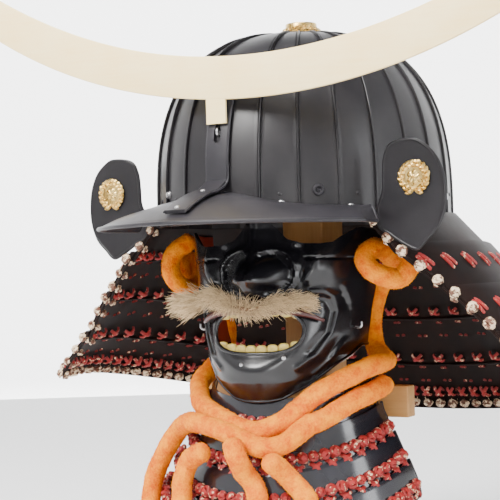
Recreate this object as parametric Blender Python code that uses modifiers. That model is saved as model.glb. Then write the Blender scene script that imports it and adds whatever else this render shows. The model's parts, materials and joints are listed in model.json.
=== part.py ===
"""Samurai helmet with its face mask, throat guard, velvet cord and wooden stand.

Metres, +Z up, the front of the helmet towards -Y, the wearer's left towards +X.
The origin is on the underside of the stand's base, below the middle of the bowl.
"""
import math

import bmesh
import bpy
import numpy as np
from mathutils import Matrix, Vector

GAP = 0.0003

# Stand
BASE_SIDE = 0.24
BASE_THICK = 0.02
POST_SIDE = 0.036
BAR_LENGTH = 0.188
BAR_HEIGHT = 0.024
BAR_DEPTH = 0.0125
BAR_FRONT_Y = -0.022
BAR_TOP_DROP = 0.139
HEAD_BLOCK_RADIUS = 0.052
HEAD_BLOCK_HEIGHT = 0.07
HEAD_BLOCK_CLEAR = 0.0025
BASE_EDGE = 0.003
POST_EDGE = 0.001
BAR_EDGE = 0.0008

# Bowl
RIM_Z = 0.30
BOWL_HALF_WIDTH = 0.1105
BOWL_HALF_LENGTH = 0.1318
BOWL_HEIGHT = 0.1375
BOWL_WALL = 0.002
BOWL_POWER = 2.6
BOWL_RIM_DROP = 0.013
FRONT_PLATE_DEG = 33.0
REAR_PLATES = 23
RIB_HEIGHT = 0.0013
RIB_WIDTH = 0.0028
CROWN_HOLE_RADIUS = 0.011
CROWN_RING_RADIUS = 0.0185
CROWN_RING_HEIGHT = 0.0064
CROWN_RING_LIFT = 0.0026
CROWN_RING_WALL = 0.0022
CROWN_PETALS = 10

# Peak over the brow
PEAK_SPAN_DEG = 55.0
PEAK_REACH = 0.0625
PEAK_END_REACH = 0.031
PEAK_THICK = 0.0018
PEAK_TOP_Z = 0.0095
PEAK_BROW_RISE = 0.013
PEAK_DROP = 0.0215
PEAK_END_DIP = 0.002
PEAK_ARCH = 0.004
PEAK_BROW_SPREAD = 0.42
PEAK_FAN = 0.92
PEAK_CORNER_FROM = 0.86
PEAK_CORNER_CUT = 0.55

# Bracket and crescent crest
BRACKET_WIDTH = 0.0175
BRACKET_THICK = 0.0028
BRACKET_TOP_Z = 0.096
BRACKET_SLOT = 0.0058
BRACKET_CLEAR = 0.0009
BRACKET_FOOT_START = 0.16
BRACKET_FOOT_SHARE = 0.86
BRACKET_BEND_RISE = 0.007
SLOT_DROP = 0.007
SLOT_BELOW = 0.006
SLOT_ABOVE = 0.004
CREST_LOW_Z = 0.077
CREST_RADIUS = 0.460
CREST_HALF_ARC = 0.345
CREST_WIDTH = 0.030
CREST_THICK = 0.0026
CREST_TILT_DEG = -4.0
CREST_TIP_WIDTH = 0.0006
TANG_INSET = 0.0002
TANG_TOP_SHARE = 0.6
TANG_END_Z = 0.059
TANG_WIDTH = 0.0165

# Neck guard and turn-backs
LAME_THICK = 0.0018
LAME_LAP = 0.007
LAME_GAP = 0.0006
GUARD_TOP_CLEAR = -0.0017
TURN_BACK_WIDTH = 0.0475
TURN_BACK_HEIGHT = 0.0790
TURN_BACK_THICK = 0.0022
TURN_BACK_OUT = 0.0146
TURN_BACK_EDGE = 0.0005
TURN_BACK_CLEAR = 0.0006
TURN_BACK_TOP = 0.0425
BADGE_RADIUS = 0.0122
BADGE_THICK = 0.0034
BADGE_Z = 0.015
BADGE_LEAVES = 12
BADGE_NOTCH = 0.07
BADGE_SHIFT = 0.0015
GUARD_BLEND = 1.4
LAME_COLUMNS = 28
LAP_LIFT = 1.25
MIDDLE_LIFT = 0.85

# Face mask
MASK_TURN_DEG = 9.0
MASK_PIVOT_Y = -0.035
MASK_HALF_WIDTH = 0.0725
MASK_DEPTH = 0.074
MASK_BACK = 0.018
MASK_TOP_Z = -0.018
MASK_CHIN_Z = -0.145
MASK_WALL = 0.0022
NOSE_REACH = 0.030
NOSE_Z = -0.0555
MOUTH_HALF_WIDTH = 0.0345
MOUTH_TOP_Z = -0.0815
MOUTH_BOTTOM_Z = -0.1085
LIP_RADIUS = 0.0030
LIP_CLEAR = 0.0021
TEETH_HEIGHT = 0.008
TEETH_CLEAR = 0.0021
TEETH_COUNT = 8
TEETH_CURVE = 0.0036
TOOTH_PITCH = 0.0085
TOOTH_STEPS = 3
TOOTH_THICK = 0.0032
TOOTH_CREST = 0.55
TOOTH_VALLEY = 0.40
TOOTH_ROOT = 0.45
LOWER_TEETH_DROP = 0.0012
UPPER_TEETH_RISE = 0.006
MOUSTACHE_HALF_SPAN = 0.052
MOUSTACHE_SHIFT = -0.008
MOUSTACHE_LIFT = 0.0097
MOUSTACHE_RISE = 0.0160
MOUSTACHE_SAG = 0.004
MOUSTACHE_CORE = 0.0042
MOUSTACHE_LOCK = 0.0095
MOUSTACHE_FAN = 0.0065
MOUSTACHE_SLICES = 30
SHORT_LOCK_SHARE = 0.62
NORMAL_STEP = 0.06
NORMAL_RISE = 0.008
MASK_FULLNESS = 0.06
MASK_SQUARENESS = 0.86
SIDE_CROWDING = 0.35
MASK_COLUMNS = 26
MASK_LINES = 15
MOUTH_CORNERS = 28
MOUTH_SQUARE_X = 0.62
MOUTH_SQUARE_Z = 0.8
MOUTH_FLARE = 0.07
MOUTH_ARCH = 0.006
LIP_SPAN = 1.30
LIP_STEPS = 16
LIP_RISE = 0.0015
LIP_ARCH = 0.0045
LIP_CORNER_DROP = 0.006

# The folds round the mouth, in shares of the mask's half width and of the chin's depth
FOLD_HEIGHT = 0.0036
FOLD_ACROSS = 0.88
FOLD_DOWN = 2.1
FOLD_DEPTH = 0.634
FOLD_RADIUS = 0.641
FOLD_SPREAD = 0.058
FOLD_FROM = 0.372
FOLD_FADE = 0.083
MOUTH_RISE = 0.0045
MOUTH_RING = 0.428
MOUTH_SPREAD = 0.097
MOUTH_DEPTH = 0.676
MOUTH_DEPTH_SPREAD = 0.179

# Throat guard
THROAT_SHIFT = 0.004
THROAT_SPAN_DEG = 84.0
THROAT_LAP = 0.22
THROAT_COLUMNS = 20
THROAT_LIFTS = (1.65, 1.2, 0.0)

# Cord
CORD_DIAMETER = 0.0155
KNOT_STEP = 0.6

# One row for each edge of the neck guard, from the bowl's rim down: half widths and depths in
# shares of the bowl's, drops in shares of GUARD_DROP, and where the front end stops in degrees.
GUARD_DROP = 0.124
GUARD_BACK_DROP = 0.176
GUARD_START = 0.0095
GUARD_ROWS = [
    # width, front, back, drop, back_drop, end_deg
    (1.000, 1.000, 1.000, 0.000, 0.000, 54.0),
    (1.260, 1.015, 1.260, 0.230, 0.250, 54.6),
    (1.508, 1.045, 1.495, 0.490, 0.510, 63.0),
    (1.744, 1.055, 1.720, 0.760, 0.760, 69.0),
    (2.040, 1.075, 1.910, 1.000, 1.000, 74.0),
]

# One row for each edge of the throat guard, from the jaw down: half width and depth in shares of
# the mask's, height of the ends and of the middle in shares of the chin's depth below the rim.
THROAT_ROWS = [
    # width, depth, end_z, middle_z
    (0.880, 0.922, 0.900, 0.985),
    (0.970, 1.020, 1.060, 1.200),
    (1.120, 1.170, 1.200, 1.375),
    (1.270, 1.320, 1.340, 1.550),
    (1.410, 1.460, 1.480, 1.720),
]

# One row for each level of the mask, from the cheeks to the chin: level as a share of the way
# down, half width and depth in shares of the mask's own.
MASK_ROWS = [
    # level, width, depth
    (0.00, 1.00, 0.74),
    (0.15, 0.98, 0.80),
    (0.30, 0.94, 0.85),
    (0.45, 0.88, 0.88),
    (0.60, 0.84, 0.93),
    (0.75, 0.79, 0.99),
    (0.88, 0.68, 1.02),
    (1.00, 0.55, 0.96),
]

# The mask's upper and lower edges: degrees from its middle, and depth in shares of the chin's.
MASK_TOP_ROWS = [
    (0, 0.069), (6, 0.083), (14, 0.166), (26, 0.200), (44, 0.197), (58, 0.148), (70, 0.124), (90, 0.138),
]
MASK_BOTTOM_ROWS = [(0, 1.0), (25, 0.986), (45, 0.924), (65, 0.828), (90, 0.745)]

# The nose by depth in shares of the chin's: its reach in shares of NOSE_REACH, and its width in
# shares of the mask's half width.
NOSE_ROWS = [
    # depth, reach, width
    (0.069, 0.42, 0.131),
    (0.179, 0.44, 0.143),
    (0.276, 0.62, 0.160),
    (0.383, 1.00, 0.227),
    (0.434, 0.85, 0.230),
    (0.497, 0.18, 0.233),
    (0.566, 0.00, 0.235),
]

# The mask's raised and sunk forms: height in shares of NOSE_REACH, place and spread across in shares
# of the mask's half width, place and spread down in shares of the chin's depth.
MASK_FORMS = [
    # height, across, across_spread, down, down_spread
    (0.350, 0.255, 0.117, 0.414, 0.072),
    (0.217, 0.579, 0.235, 0.310, 0.117),
    (0.233, 0.000, 0.331, 0.883, 0.083),
    (-0.117, 0.000, 0.414, 0.786, 0.035),
]

# The corners of a slice through the moustache: up in shares of a lock's length, forwards in shares
# of the core's thickness, and the lean outwards in shares of a lock's length.
MOUSTACHE_RING = [
    # rise, forward, lean
    (1.00, 0.30, 0.45),
    (0.30, 1.00, 0.00),
    (-0.30, 1.00, 0.00),
    (-0.90, 1.10, 0.45),
    (-0.25, -1.50, 0.00),
    (0.30, -1.50, 0.00),
]

# The turn-backs' outline, outwards from the middle in shares of the half width and down from the
# top in shares of the height.
TURN_BACK_SHARES = [
    (-0.02, 0.00), (0.35, -0.045), (0.72, -0.15), (0.96, -0.31), (1.03, -0.51), (0.97, -0.66),
    (0.75, -0.81), (0.42, -0.91), (0.07, -1.00), (-0.40, -0.94), (-0.82, -0.86), (-1.20, -0.79),
    (-1.27, -0.70), (-1.24, -0.60), (-1.05, -0.46), (-1.02, -0.30), (-0.96, -0.15), (-0.72, -0.03),
]

# The badge's turned outline, from its middle: radius and height in shares of its own.
BADGE_ROWS = [
    (0.0, 1.0), (0.28, 0.92), (0.42, 0.55), (0.62, 0.62), (0.80, 1.0), (1.0, 0.55), (1.0, 0.0), (0.0, 0.0),
]

# The head block's turned outline: radius and drop from its top in shares of its sizes.
HEAD_BLOCK_ROWS = [
    (0.0, 0.0), (0.55, 0.009), (0.85, 0.086), (1.0, 0.257), (1.0, 0.957), (0.94, 1.0), (0.0, 1.0),
]

# The crown's turned outline: radius and height in shares of the ring's, and its petals' wave.
PETAL_WAVE = 0.05
PETAL_FROM = 0.8
CROWN_ROWS = [(0.62, 0.0), (1.0, 0.10), (1.0, 0.30), (0.78, 0.45), (0.86, 0.70), (0.66, 1.0)]

# Routes of the velvet cord, as chosen by hand, from the rim. They stay as they are.
CORD_ROUTES = {
    "cord_left": [
        (0.100, -0.035, -0.026), (0.107, -0.040, -0.037), (0.110, -0.044, -0.047),
        (0.103, -0.048, -0.057), (0.096, -0.056, -0.056), (0.086, -0.063, -0.050),
        (0.081, -0.062, -0.041), (0.083, -0.049, -0.034), (0.082, -0.024, -0.039),
        (0.072, 0.006, -0.050), (0.058, 0.014, -0.062), (0.052, 0.012, -0.078),
        (0.051, 0.009, -0.096), (0.056, 0.003, -0.112), (0.068, -0.009, -0.1185),
        (0.079, -0.028, -0.120), (0.08, -0.053, -0.1215), (0.068, -0.079, -0.130),
        (0.057, -0.093, -0.138), (0.045, -0.103, -0.149),
    ],
    "cord_left_lower": [
        (0.081, -0.036, -0.137), (0.0812, -0.046, -0.139), (0.0795, -0.0585, -0.1415),
        (0.0765, -0.07, -0.144), (0.073, -0.08, -0.1475), (0.065, -0.0945, -0.1545),
        (0.0585, -0.1045, -0.159),
    ],
    "cord_right": [
        (-0.088, -0.040, -0.025), (-0.095, -0.048, -0.032), (-0.098, -0.052, -0.043),
        (-0.093, -0.052, -0.056), (-0.090, -0.036, -0.062), (-0.092, -0.018, -0.053),
        (-0.101, -0.012, -0.041), (-0.106, -0.020, -0.041), (-0.104, -0.026, -0.050),
        (-0.102, -0.010, -0.061), (-0.095, 0.008, -0.076), (-0.087, 0.013, -0.095),
        (-0.080, -0.001, -0.113), (-0.074, -0.029, -0.125), (-0.0695, -0.056, -0.135),
        (-0.056, -0.079, -0.143), (-0.042, -0.097, -0.149), (-0.028, -0.107, -0.153),
    ],
    "cord_bow": [
        (-0.0235, -0.1245, -0.160), (-0.036, -0.119, -0.1595), (-0.050, -0.108, -0.162),
        (-0.064, -0.096, -0.168), (-0.076, -0.094, -0.181), (-0.085, -0.094, -0.195),
        (-0.090, -0.096, -0.210), (-0.090, -0.101, -0.226), (-0.080, -0.113, -0.238),
        (-0.062, -0.129, -0.240), (-0.044, -0.138, -0.231), (-0.036, -0.139, -0.217),
        (-0.039, -0.133, -0.203), (-0.038, -0.127, -0.191), (-0.031, -0.130, -0.184),
        (-0.022, -0.1315, -0.1795),
    ],
    "cord_tail_1": [
        (0.0139, -0.1452, -0.1717), (0.018, -0.147, -0.181), (0.019, -0.139, -0.192),
        (0.024, -0.135, -0.201), (0.028, -0.137, -0.210),
    ],
    "cord_tail_2": [
        (0.041, -0.1390, -0.1834), (0.0445, -0.131, -0.190), (0.049, -0.126, -0.197),
        (0.056, -0.124, -0.205), (0.062, -0.124, -0.212),
    ],
}
KNOT_ROUTES = [
    [
        (-0.0268, -0.1078, -0.1534), (-0.012, -0.114, -0.158), (0.006, -0.119, -0.163),
        (0.021, -0.119, -0.1645), (0.034, -0.1135, -0.159), (0.0441, -0.1038, -0.1498),
    ],
    [
        (0.012, -0.127, -0.1695), (0.028, -0.131, -0.1745), (0.042, -0.123, -0.1725),
        (0.0558, -0.1057, -0.1592),
    ],
    [
        (-0.0219, -0.1252, -0.1602), (-0.009, -0.1285, -0.1625), (0.004, -0.130, -0.1665),
        (0.018, -0.130, -0.171),
    ],
]


def clear_scene():
    for item in list(bpy.data.objects):
        bpy.data.objects.remove(item, do_unlink=True)


def new_collection(name, hidden=False):
    group = bpy.data.collections.new(name)
    bpy.context.scene.collection.children.link(group)
    group.hide_render = hidden
    return group


def material(name, colour, roughness, metallic=0.0):
    made = bpy.data.materials.new(name)
    made.use_nodes = True
    shader = made.node_tree.nodes["Principled BSDF"]
    shader.inputs["Base Color"].default_value = (*colour, 1.0)
    shader.inputs["Roughness"].default_value = roughness
    shader.inputs["Metallic"].default_value = metallic
    made.diffuse_color = (*colour, 1.0)
    return made


def add_object(name, data, group, finish=None):
    item = bpy.data.objects.new(name, data)
    group.objects.link(item)
    if finish is not None:
        item.data.materials.append(finish)
    return item


def between(rows, column, share):
    """The value of a table's column at a share of its first column."""
    return float(np.interp(share, [row[0] for row in rows], [row[column] for row in rows]))


def catmull(points, count):
    """Points evenly spaced along a smooth curve through the given ones."""
    knots = [Vector(p) for p in points]
    knots = [2 * knots[0] - knots[1]] + knots + [2 * knots[-1] - knots[-2]]
    fine = []
    steps = 12
    for i in range(1, len(knots) - 2):
        a, b, c, d = knots[i - 1:i + 3]
        for j in range(steps):
            t = j / steps
            fine.append(0.5 * (2 * b + (c - a) * t + (2 * a - 5 * b + 4 * c - d) * t * t
                               + (3 * b - a - 3 * c + d) * t ** 3))
    fine.append(knots[-2])
    along = np.concatenate([[0], np.cumsum([(q - p).length for p, q in zip(fine, fine[1:])])])
    xyz = np.array([tuple(p) for p in fine])
    at = np.linspace(0, along[-1], count)
    return [tuple(np.interp(at, along, xyz[:, k])[i] for k in range(3)) for i in range(count)]


def surface_object(name, rows, group, finish, wall, wrap=False, outward=-1.0):
    """An open sheet through rows of points, given its wall by Solidify."""
    mesh = bpy.data.meshes.new(name)
    builder = bmesh.new()
    grid = [[builder.verts.new(p) for p in row] for row in rows]
    for upper, lower in zip(grid, grid[1:]):
        count = len(upper) if wrap else len(upper) - 1
        for i in range(count):
            j = (i + 1) % len(upper)
            builder.faces.new((upper[i], lower[i], lower[j], upper[j]))
    builder.to_mesh(mesh)
    builder.free()
    item = add_object(name, mesh, group, finish)
    item.data.shade_smooth()
    shell = item.modifiers.new("wall", "SOLIDIFY")
    shell.thickness = wall
    shell.offset = outward
    shell.use_even_offset = False
    return item


def prism(name, outline, thickness, group, finish, place):
    """A flat outline drawn as a 2D curve and extruded to its thickness, then made a mesh."""
    curve = bpy.data.curves.new(name, "CURVE")
    curve.dimensions = "2D"
    curve.fill_mode = "BOTH"
    curve.extrude = thickness / 2
    spline = curve.splines.new("POLY")
    spline.points.add(len(outline) - 1)
    for point, (x, y) in zip(spline.points, outline):
        point.co = (x, y, 0.0, 1.0)
    spline.use_cyclic_u = True
    return curve_to_mesh(name, curve, group, finish, place)


def curve_to_mesh(name, curve, group, finish, place):
    helper = bpy.data.objects.new(name + "_curve", curve)
    group.objects.link(helper)
    helper.matrix_world = place
    bpy.context.view_layer.update()
    graph = bpy.context.evaluated_depsgraph_get()
    mesh = bpy.data.meshes.new_from_object(helper.evaluated_get(graph))
    mesh.name = name
    welder = bmesh.new()
    welder.from_mesh(mesh)
    bmesh.ops.remove_doubles(welder, verts=welder.verts, dist=1e-6)
    bmesh.ops.recalc_face_normals(welder, faces=welder.faces)
    welder.to_mesh(mesh)
    welder.free()
    item = add_object(name, mesh, group, finish)
    item.matrix_world = helper.matrix_world.copy()
    bpy.data.objects.remove(helper, do_unlink=True)
    bpy.data.curves.remove(curve)
    return item


def tube(name, points, radius, group, finish, resolution=2):
    curve = bpy.data.curves.new(name, "CURVE")
    curve.dimensions = "3D"
    curve.bevel_depth = radius
    curve.bevel_resolution = resolution
    curve.use_fill_caps = True
    spline = curve.splines.new("POLY")
    spline.points.add(len(points) - 1)
    for point, co in zip(spline.points, points):
        point.co = (*co, 1.0)
    spline.use_smooth = True
    return add_object(name, curve, group, finish)


def box(name, low, high, group, finish, edge=0.0015):
    low, high = Vector(low), Vector(high)
    mesh = bpy.data.meshes.new(name)
    builder = bmesh.new()
    bmesh.ops.create_cube(builder, size=1.0)
    bmesh.ops.scale(builder, vec=high - low, verts=builder.verts)
    bmesh.ops.translate(builder, vec=(low + high) / 2, verts=builder.verts)
    builder.to_mesh(mesh)
    builder.free()
    item = add_object(name, mesh, group, finish)
    if edge:
        soft = item.modifiers.new("edges", "BEVEL")
        soft.width = edge
        soft.segments = 1
    return item


def turned(name, profile, group, finish, place=(0, 0, 0), steps=32):
    """A profile of (radius, height), top to bottom, turned about Z."""
    mesh = bpy.data.meshes.new(name)
    mesh.from_pydata([(r, 0.0, z) for r, z in profile], [(i, i + 1) for i in range(len(profile) - 1)], [])
    item = add_object(name, mesh, group, finish)
    item.location = place
    spin = item.modifiers.new("turn", "SCREW")
    spin.steps = steps
    spin.render_steps = steps
    spin.use_merge_vertices = True
    spin.merge_threshold = 0.00005
    return item


def boolean(item, other, operation, name):
    step = item.modifiers.new(name, "BOOLEAN")
    step.operation = operation
    step.object = other
    step.solver = "EXACT"


def as_cutter(item, cutters):
    for owner in list(item.users_collection):
        owner.objects.unlink(item)
    cutters.objects.link(item)
    item.hide_render = True
    item.display_type = "WIRE"
    return item


def bowl_radius_share(height_share):
    return (1.0 - height_share ** BOWL_POWER) ** (1.0 / BOWL_POWER)


def bowl_point(angle, height_share, lift=0.0):
    """A point on the bowl, with the angle from the front towards the wearer's left."""
    share = bowl_radius_share(height_share)
    x = (BOWL_HALF_WIDTH * share + lift) * math.sin(angle)
    y = -(BOWL_HALF_LENGTH * share + lift) * math.cos(angle)
    return (x, y, RIM_Z + BOWL_HEIGHT * height_share + lift * height_share)


def rib_angles():
    """Angles of the ribs between the plates: one wide front plate, then even ones round the back."""
    half = math.radians(FRONT_PLATE_DEG / 2)
    pitch = (2 * math.pi - 2 * half) / REAR_PLATES
    return [half + i * pitch for i in range(REAR_PLATES + 1)]


def bowl_stations():
    """(angle, whether on a rib's crest) round the bowl."""
    half = RIB_WIDTH / (2 * BOWL_HALF_WIDTH)
    ribs = rib_angles()
    stations = []
    for here, there in zip(ribs, ribs[1:] + [ribs[0] + 2 * math.pi]):
        stations += [(here - half, 0.0), (here, 1.0), (here + half, 0.0)]
        extra = 3 if there - here > 0.4 else 1
        for k in range(extra):
            stations.append((here + (there - here) * (k + 1) / (extra + 1), 0.0))
    return stations


def crown_height_share():
    """Height of the crown's hole, as a share of the bowl's height."""
    return (1.0 - (CROWN_HOLE_RADIUS / BOWL_HALF_WIDTH) ** BOWL_POWER) ** (1.0 / BOWL_POWER)


def make_bowl(group, finish):
    top = crown_height_share()
    heights = [top, 0.96, 0.84, 0.64, 0.36, 0.0]
    rows = []
    for height in heights:
        fade = min(1.0, max(0.35, bowl_radius_share(height) / 0.35))
        rows.append([bowl_point(a, height, RIB_HEIGHT * rib * fade) for a, rib in bowl_stations()])
    rows.append([(x, y, z - BOWL_RIM_DROP) for x, y, z in rows[-1]])
    return surface_object("bowl", rows, group, finish, BOWL_WALL, wrap=True)


def make_crown(group, finish):
    """The petalled ring round the hole at the crown."""
    z0 = RIM_Z + BOWL_HEIGHT * crown_height_share() + CROWN_RING_LIFT
    rows = []
    for radius, height in reversed(CROWN_ROWS):
        row = []
        for i in range(CROWN_PETALS * 2):
            wave = 1.0 + (PETAL_WAVE if i % 2 else -PETAL_WAVE) * (radius > PETAL_FROM)
            angle = math.pi * i / CROWN_PETALS
            r = CROWN_RING_RADIUS * radius * wave
            row.append((r * math.cos(angle), r * math.sin(angle), z0 + CROWN_RING_HEIGHT * height))
        rows.append(row[::-1])
    return surface_object("top_ornament", rows, group, finish, CROWN_RING_WALL, wrap=True)


def peak_inner(share):
    angle = math.radians(PEAK_SPAN_DEG) * share
    lift = GAP + RIB_HEIGHT + PEAK_THICK
    x = (BOWL_HALF_WIDTH + lift) * math.sin(angle)
    y = -(BOWL_HALF_LENGTH + lift) * math.cos(angle)
    rise = PEAK_BROW_RISE * math.exp(-(share / PEAK_BROW_SPREAD) ** 2)
    return Vector((x, y, RIM_Z + PEAK_TOP_Z - PEAK_BROW_RISE + rise))


def peak_outer(share):
    inner = peak_inner(share)
    angle = math.radians(PEAK_SPAN_DEG * PEAK_FAN) * share
    reach = PEAK_END_REACH + (PEAK_REACH - PEAK_END_REACH) * (1.0 - share * share) ** 0.9
    corner = max(0.0, abs(share) - PEAK_CORNER_FROM) / (1.0 - PEAK_CORNER_FROM)
    reach *= 1.0 - corner * PEAK_CORNER_CUT
    ahead = Vector((math.sin(angle), -math.cos(angle), 0.0))
    outer = inner + ahead * reach
    outer.z = RIM_Z + PEAK_TOP_Z - PEAK_DROP - PEAK_END_DIP * abs(share)
    return outer


def peak_point(share, across):
    """A point on the peak's upper face, across from 0 at the bowl to 1 at the free edge."""
    inner, outer = peak_inner(share), peak_outer(share)
    place = inner.lerp(outer, across)
    place.z += PEAK_ARCH * math.sin(math.pi * across)
    return place


def make_peak(group, finish):
    shares = [-1.0 + 2.0 * i / 20 for i in range(21)]
    rows = [[peak_point(s, a / 3) for s in shares] for a in range(4)]
    return surface_object("peak", rows, group, finish, PEAK_THICK)


def bracket_path():
    """Points down the bowl's front and along the peak, in the plane x = 0."""
    path = []
    top = BRACKET_TOP_Z / BOWL_HEIGHT
    foot = (PEAK_TOP_Z + BRACKET_BEND_RISE) / BOWL_HEIGHT
    for i in range(6):
        share = top + (foot - top) * i / 5
        x, y, z = bowl_point(0.0, share, BRACKET_CLEAR)
        path.append(Vector((y, z)))
    for i in range(4):
        point = peak_point(0.0, BRACKET_FOOT_START + (BRACKET_FOOT_SHARE - BRACKET_FOOT_START) * i / 3)
        path.append(Vector((point.y, point.z + BRACKET_CLEAR)))
    return path


def offset_path(path, distance):
    moved = []
    for i, point in enumerate(path):
        before = path[max(i - 1, 0)]
        after = path[min(i + 1, len(path) - 1)]
        along = (after - before).normalized()
        moved.append(point + Vector((along.y, -along.x)) * distance)
    return moved


def front_plate(name, path, thick, width, group, finish):
    """A strip of one width that follows a path in the plane x = 0."""
    inner = offset_path(path, 0.0)
    outer = offset_path(path, thick)
    outline = [tuple(p) for p in inner] + [tuple(p) for p in reversed(outer)]
    stand_up = Matrix(((0, 0, 1, 0), (1, 0, 0, 0), (0, 1, 0, 0), (0, 0, 0, 1)))
    return prism(name, outline, width, group, finish, stand_up)


def make_bracket(group, cutters, finish):
    path = bracket_path()
    strip = front_plate("crest_bracket", path, BRACKET_THICK, BRACKET_WIDTH, group, finish)
    slot_z = RIM_Z + TANG_END_Z - SLOT_DROP
    low = (-BRACKET_SLOT / 2, -BOWL_HALF_LENGTH * 1.5, slot_z - SLOT_BELOW)
    slot = box("slot_cutter", low, (BRACKET_SLOT / 2, 0.0, slot_z + SLOT_ABOVE), cutters, None, edge=0)
    as_cutter(slot, cutters)
    boolean(strip, slot, "DIFFERENCE", "slot")
    return strip


def crest_plane_y():
    """The middle of the crest's thickness, ahead of the bracket's face at the end of the tang."""
    face = [p for p in offset_path(bracket_path(), BRACKET_THICK) if p.y > RIM_Z + PEAK_TOP_Z * 2]
    level = RIM_Z + TANG_END_Z
    ahead = float(np.interp(level, [p.y for p in reversed(face)], [p.x for p in reversed(face)]))
    return ahead - GAP * 2 - CREST_THICK / 2


def make_crest(group, cutters, finish):
    """A crescent of one arc that narrows to a point at each end, with its tang."""
    steps = 40
    lower, upper = [], []
    for i in range(steps + 1):
        share = -1.0 + 2.0 * i / steps
        angle = share * CREST_HALF_ARC / CREST_RADIUS
        width = CREST_WIDTH * max(0.0, 1.0 - share ** 4) ** 0.5 + CREST_TIP_WIDTH
        for line, radius in ((lower, CREST_RADIUS), (upper, CREST_RADIUS - width)):
            line.append((radius * math.sin(angle), CREST_LOW_Z + CREST_RADIUS - radius * math.cos(angle)))
    outline = lower + upper[::-1]
    tilt = math.radians(CREST_TILT_DEG)
    turned_outline = []
    for x, z in outline:
        up = z - CREST_LOW_Z
        turned_outline.append((x * math.cos(tilt) - up * math.sin(tilt),
                               CREST_LOW_Z + x * math.sin(tilt) + up * math.cos(tilt)))
    upright = Matrix.Translation((0, crest_plane_y(), RIM_Z)) @ Matrix.Rotation(math.pi / 2, 4, "X")
    crest = prism("crest", turned_outline, CREST_THICK, group, finish, upright)
    tang_low = Vector((-TANG_WIDTH / 2, crest_plane_y() - CREST_THICK / 2 + TANG_INSET, RIM_Z + TANG_END_Z))
    tang_high = Vector((TANG_WIDTH / 2, crest_plane_y() + CREST_THICK / 2 - TANG_INSET,
                        RIM_Z + CREST_LOW_Z + CREST_WIDTH * TANG_TOP_SHARE))
    tang = as_cutter(box("tang_body", tang_low, tang_high, cutters, None, edge=0), cutters)
    boolean(crest, tang, "UNION", "tang")
    return crest


def guard_row(level, column):
    """A value of the neck guard at a level counted in lames, read between the table's rows."""
    return float(np.interp(level, range(len(GUARD_ROWS)), [row[column] for row in GUARD_ROWS]))


def guard_point(level, share, lift):
    """A point on the neck guard, share from -1 at the wearer's right end to 1 at the left one."""
    end = math.radians(guard_row(level, 5))
    angle = math.pi + share * (math.pi - end)
    top = RIB_HEIGHT + GUARD_TOP_CLEAR + LAME_THICK * 1.5
    wide = (BOWL_HALF_WIDTH + top) * guard_row(level, 0) + lift
    front = (BOWL_HALF_LENGTH + top) * guard_row(level, 1) + lift
    back = (BOWL_HALF_LENGTH + top) * guard_row(level, 2) + lift
    x = -wide * math.sin(angle)
    rearward = -math.cos(angle)
    y = rearward * (back if rearward > 0 else front)
    blend = max(0.0, rearward) ** GUARD_BLEND
    drop = (1 - blend) * GUARD_DROP * guard_row(level, 3) + blend * GUARD_BACK_DROP * guard_row(level, 4)
    return (x, y, RIM_Z - GUARD_START - drop)


def guard_slope(level):
    """How far the guard's side runs out for each metre that it drops, between two rows."""
    low, high = int(level), int(level) + 1
    out = (guard_row(high, 0) - guard_row(low, 0)) * BOWL_HALF_WIDTH
    down = (guard_row(high, 3) - guard_row(low, 3)) * GUARD_DROP
    return out / down


def make_neck_lames(group, finish):
    """Lames that hang from the rim, each lower one outside the one above."""
    lap = LAME_LAP / (GUARD_DROP / (len(GUARD_ROWS) - 1))
    for index in range(len(GUARD_ROWS) - 1):
        levels = [index - lap if index else 0.0, index + 0.5, index + 1.0]
        lifts = [0.0, 0.0, 0.0]
        if index:
            slopes = guard_slope(index - 1), guard_slope(index)
            skin = (LAME_THICK + LAME_GAP) * math.sqrt(1 + max(slopes) ** 2)
            lifts = [skin * LAP_LIFT, skin * MIDDLE_LIFT, 0.0]
        rows = []
        shares = [-1.0 + 2.0 * k / LAME_COLUMNS for k in range(LAME_COLUMNS + 1)]
        for level, lift in zip(levels, lifts):
            rows.append([guard_point(level, share, lift) for share in shares])
        surface_object(f"neck_lame_{index + 1}", rows, group, finish, LAME_THICK)


def turn_back_outline():
    """The paddle's outline, x outwards from its middle and y up from its top edge's height."""
    wide, tall = TURN_BACK_WIDTH / 2, TURN_BACK_HEIGHT
    return [(x * wide, y * tall) for x, y in TURN_BACK_SHARES]


def turn_back_x():
    """The paddles' middle, outwards of the top lame's front ends."""
    return guard_point(1.0, 1.0, 0.0)[0] + TURN_BACK_OUT


def turn_back_y():
    """The back face of the paddles, just ahead of the top lame's front ends."""
    ends = [guard_point(level, 1.0, 0.0)[1] for level in (0.0, 0.5, 1.0)]
    return min(ends) - TURN_BACK_CLEAR


def make_turn_back(side, group, finish):
    name = "turn_back_left" if side > 0 else "turn_back_right"
    outline = [(side * x, y) for x, y in turn_back_outline()]
    if side < 0:
        outline.reverse()
    middle = Vector((side * turn_back_x(), turn_back_y() - TURN_BACK_THICK / 2, RIM_Z + TURN_BACK_TOP))
    place = Matrix.Translation(middle) @ Matrix.Rotation(math.pi / 2, 4, "X")
    item = prism(name, outline, TURN_BACK_THICK, group, finish, place)
    edge = item.modifiers.new("edge", "BEVEL")
    edge.width = TURN_BACK_EDGE
    edge.segments = 1
    edge.limit_method = "ANGLE"
    return item


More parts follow.
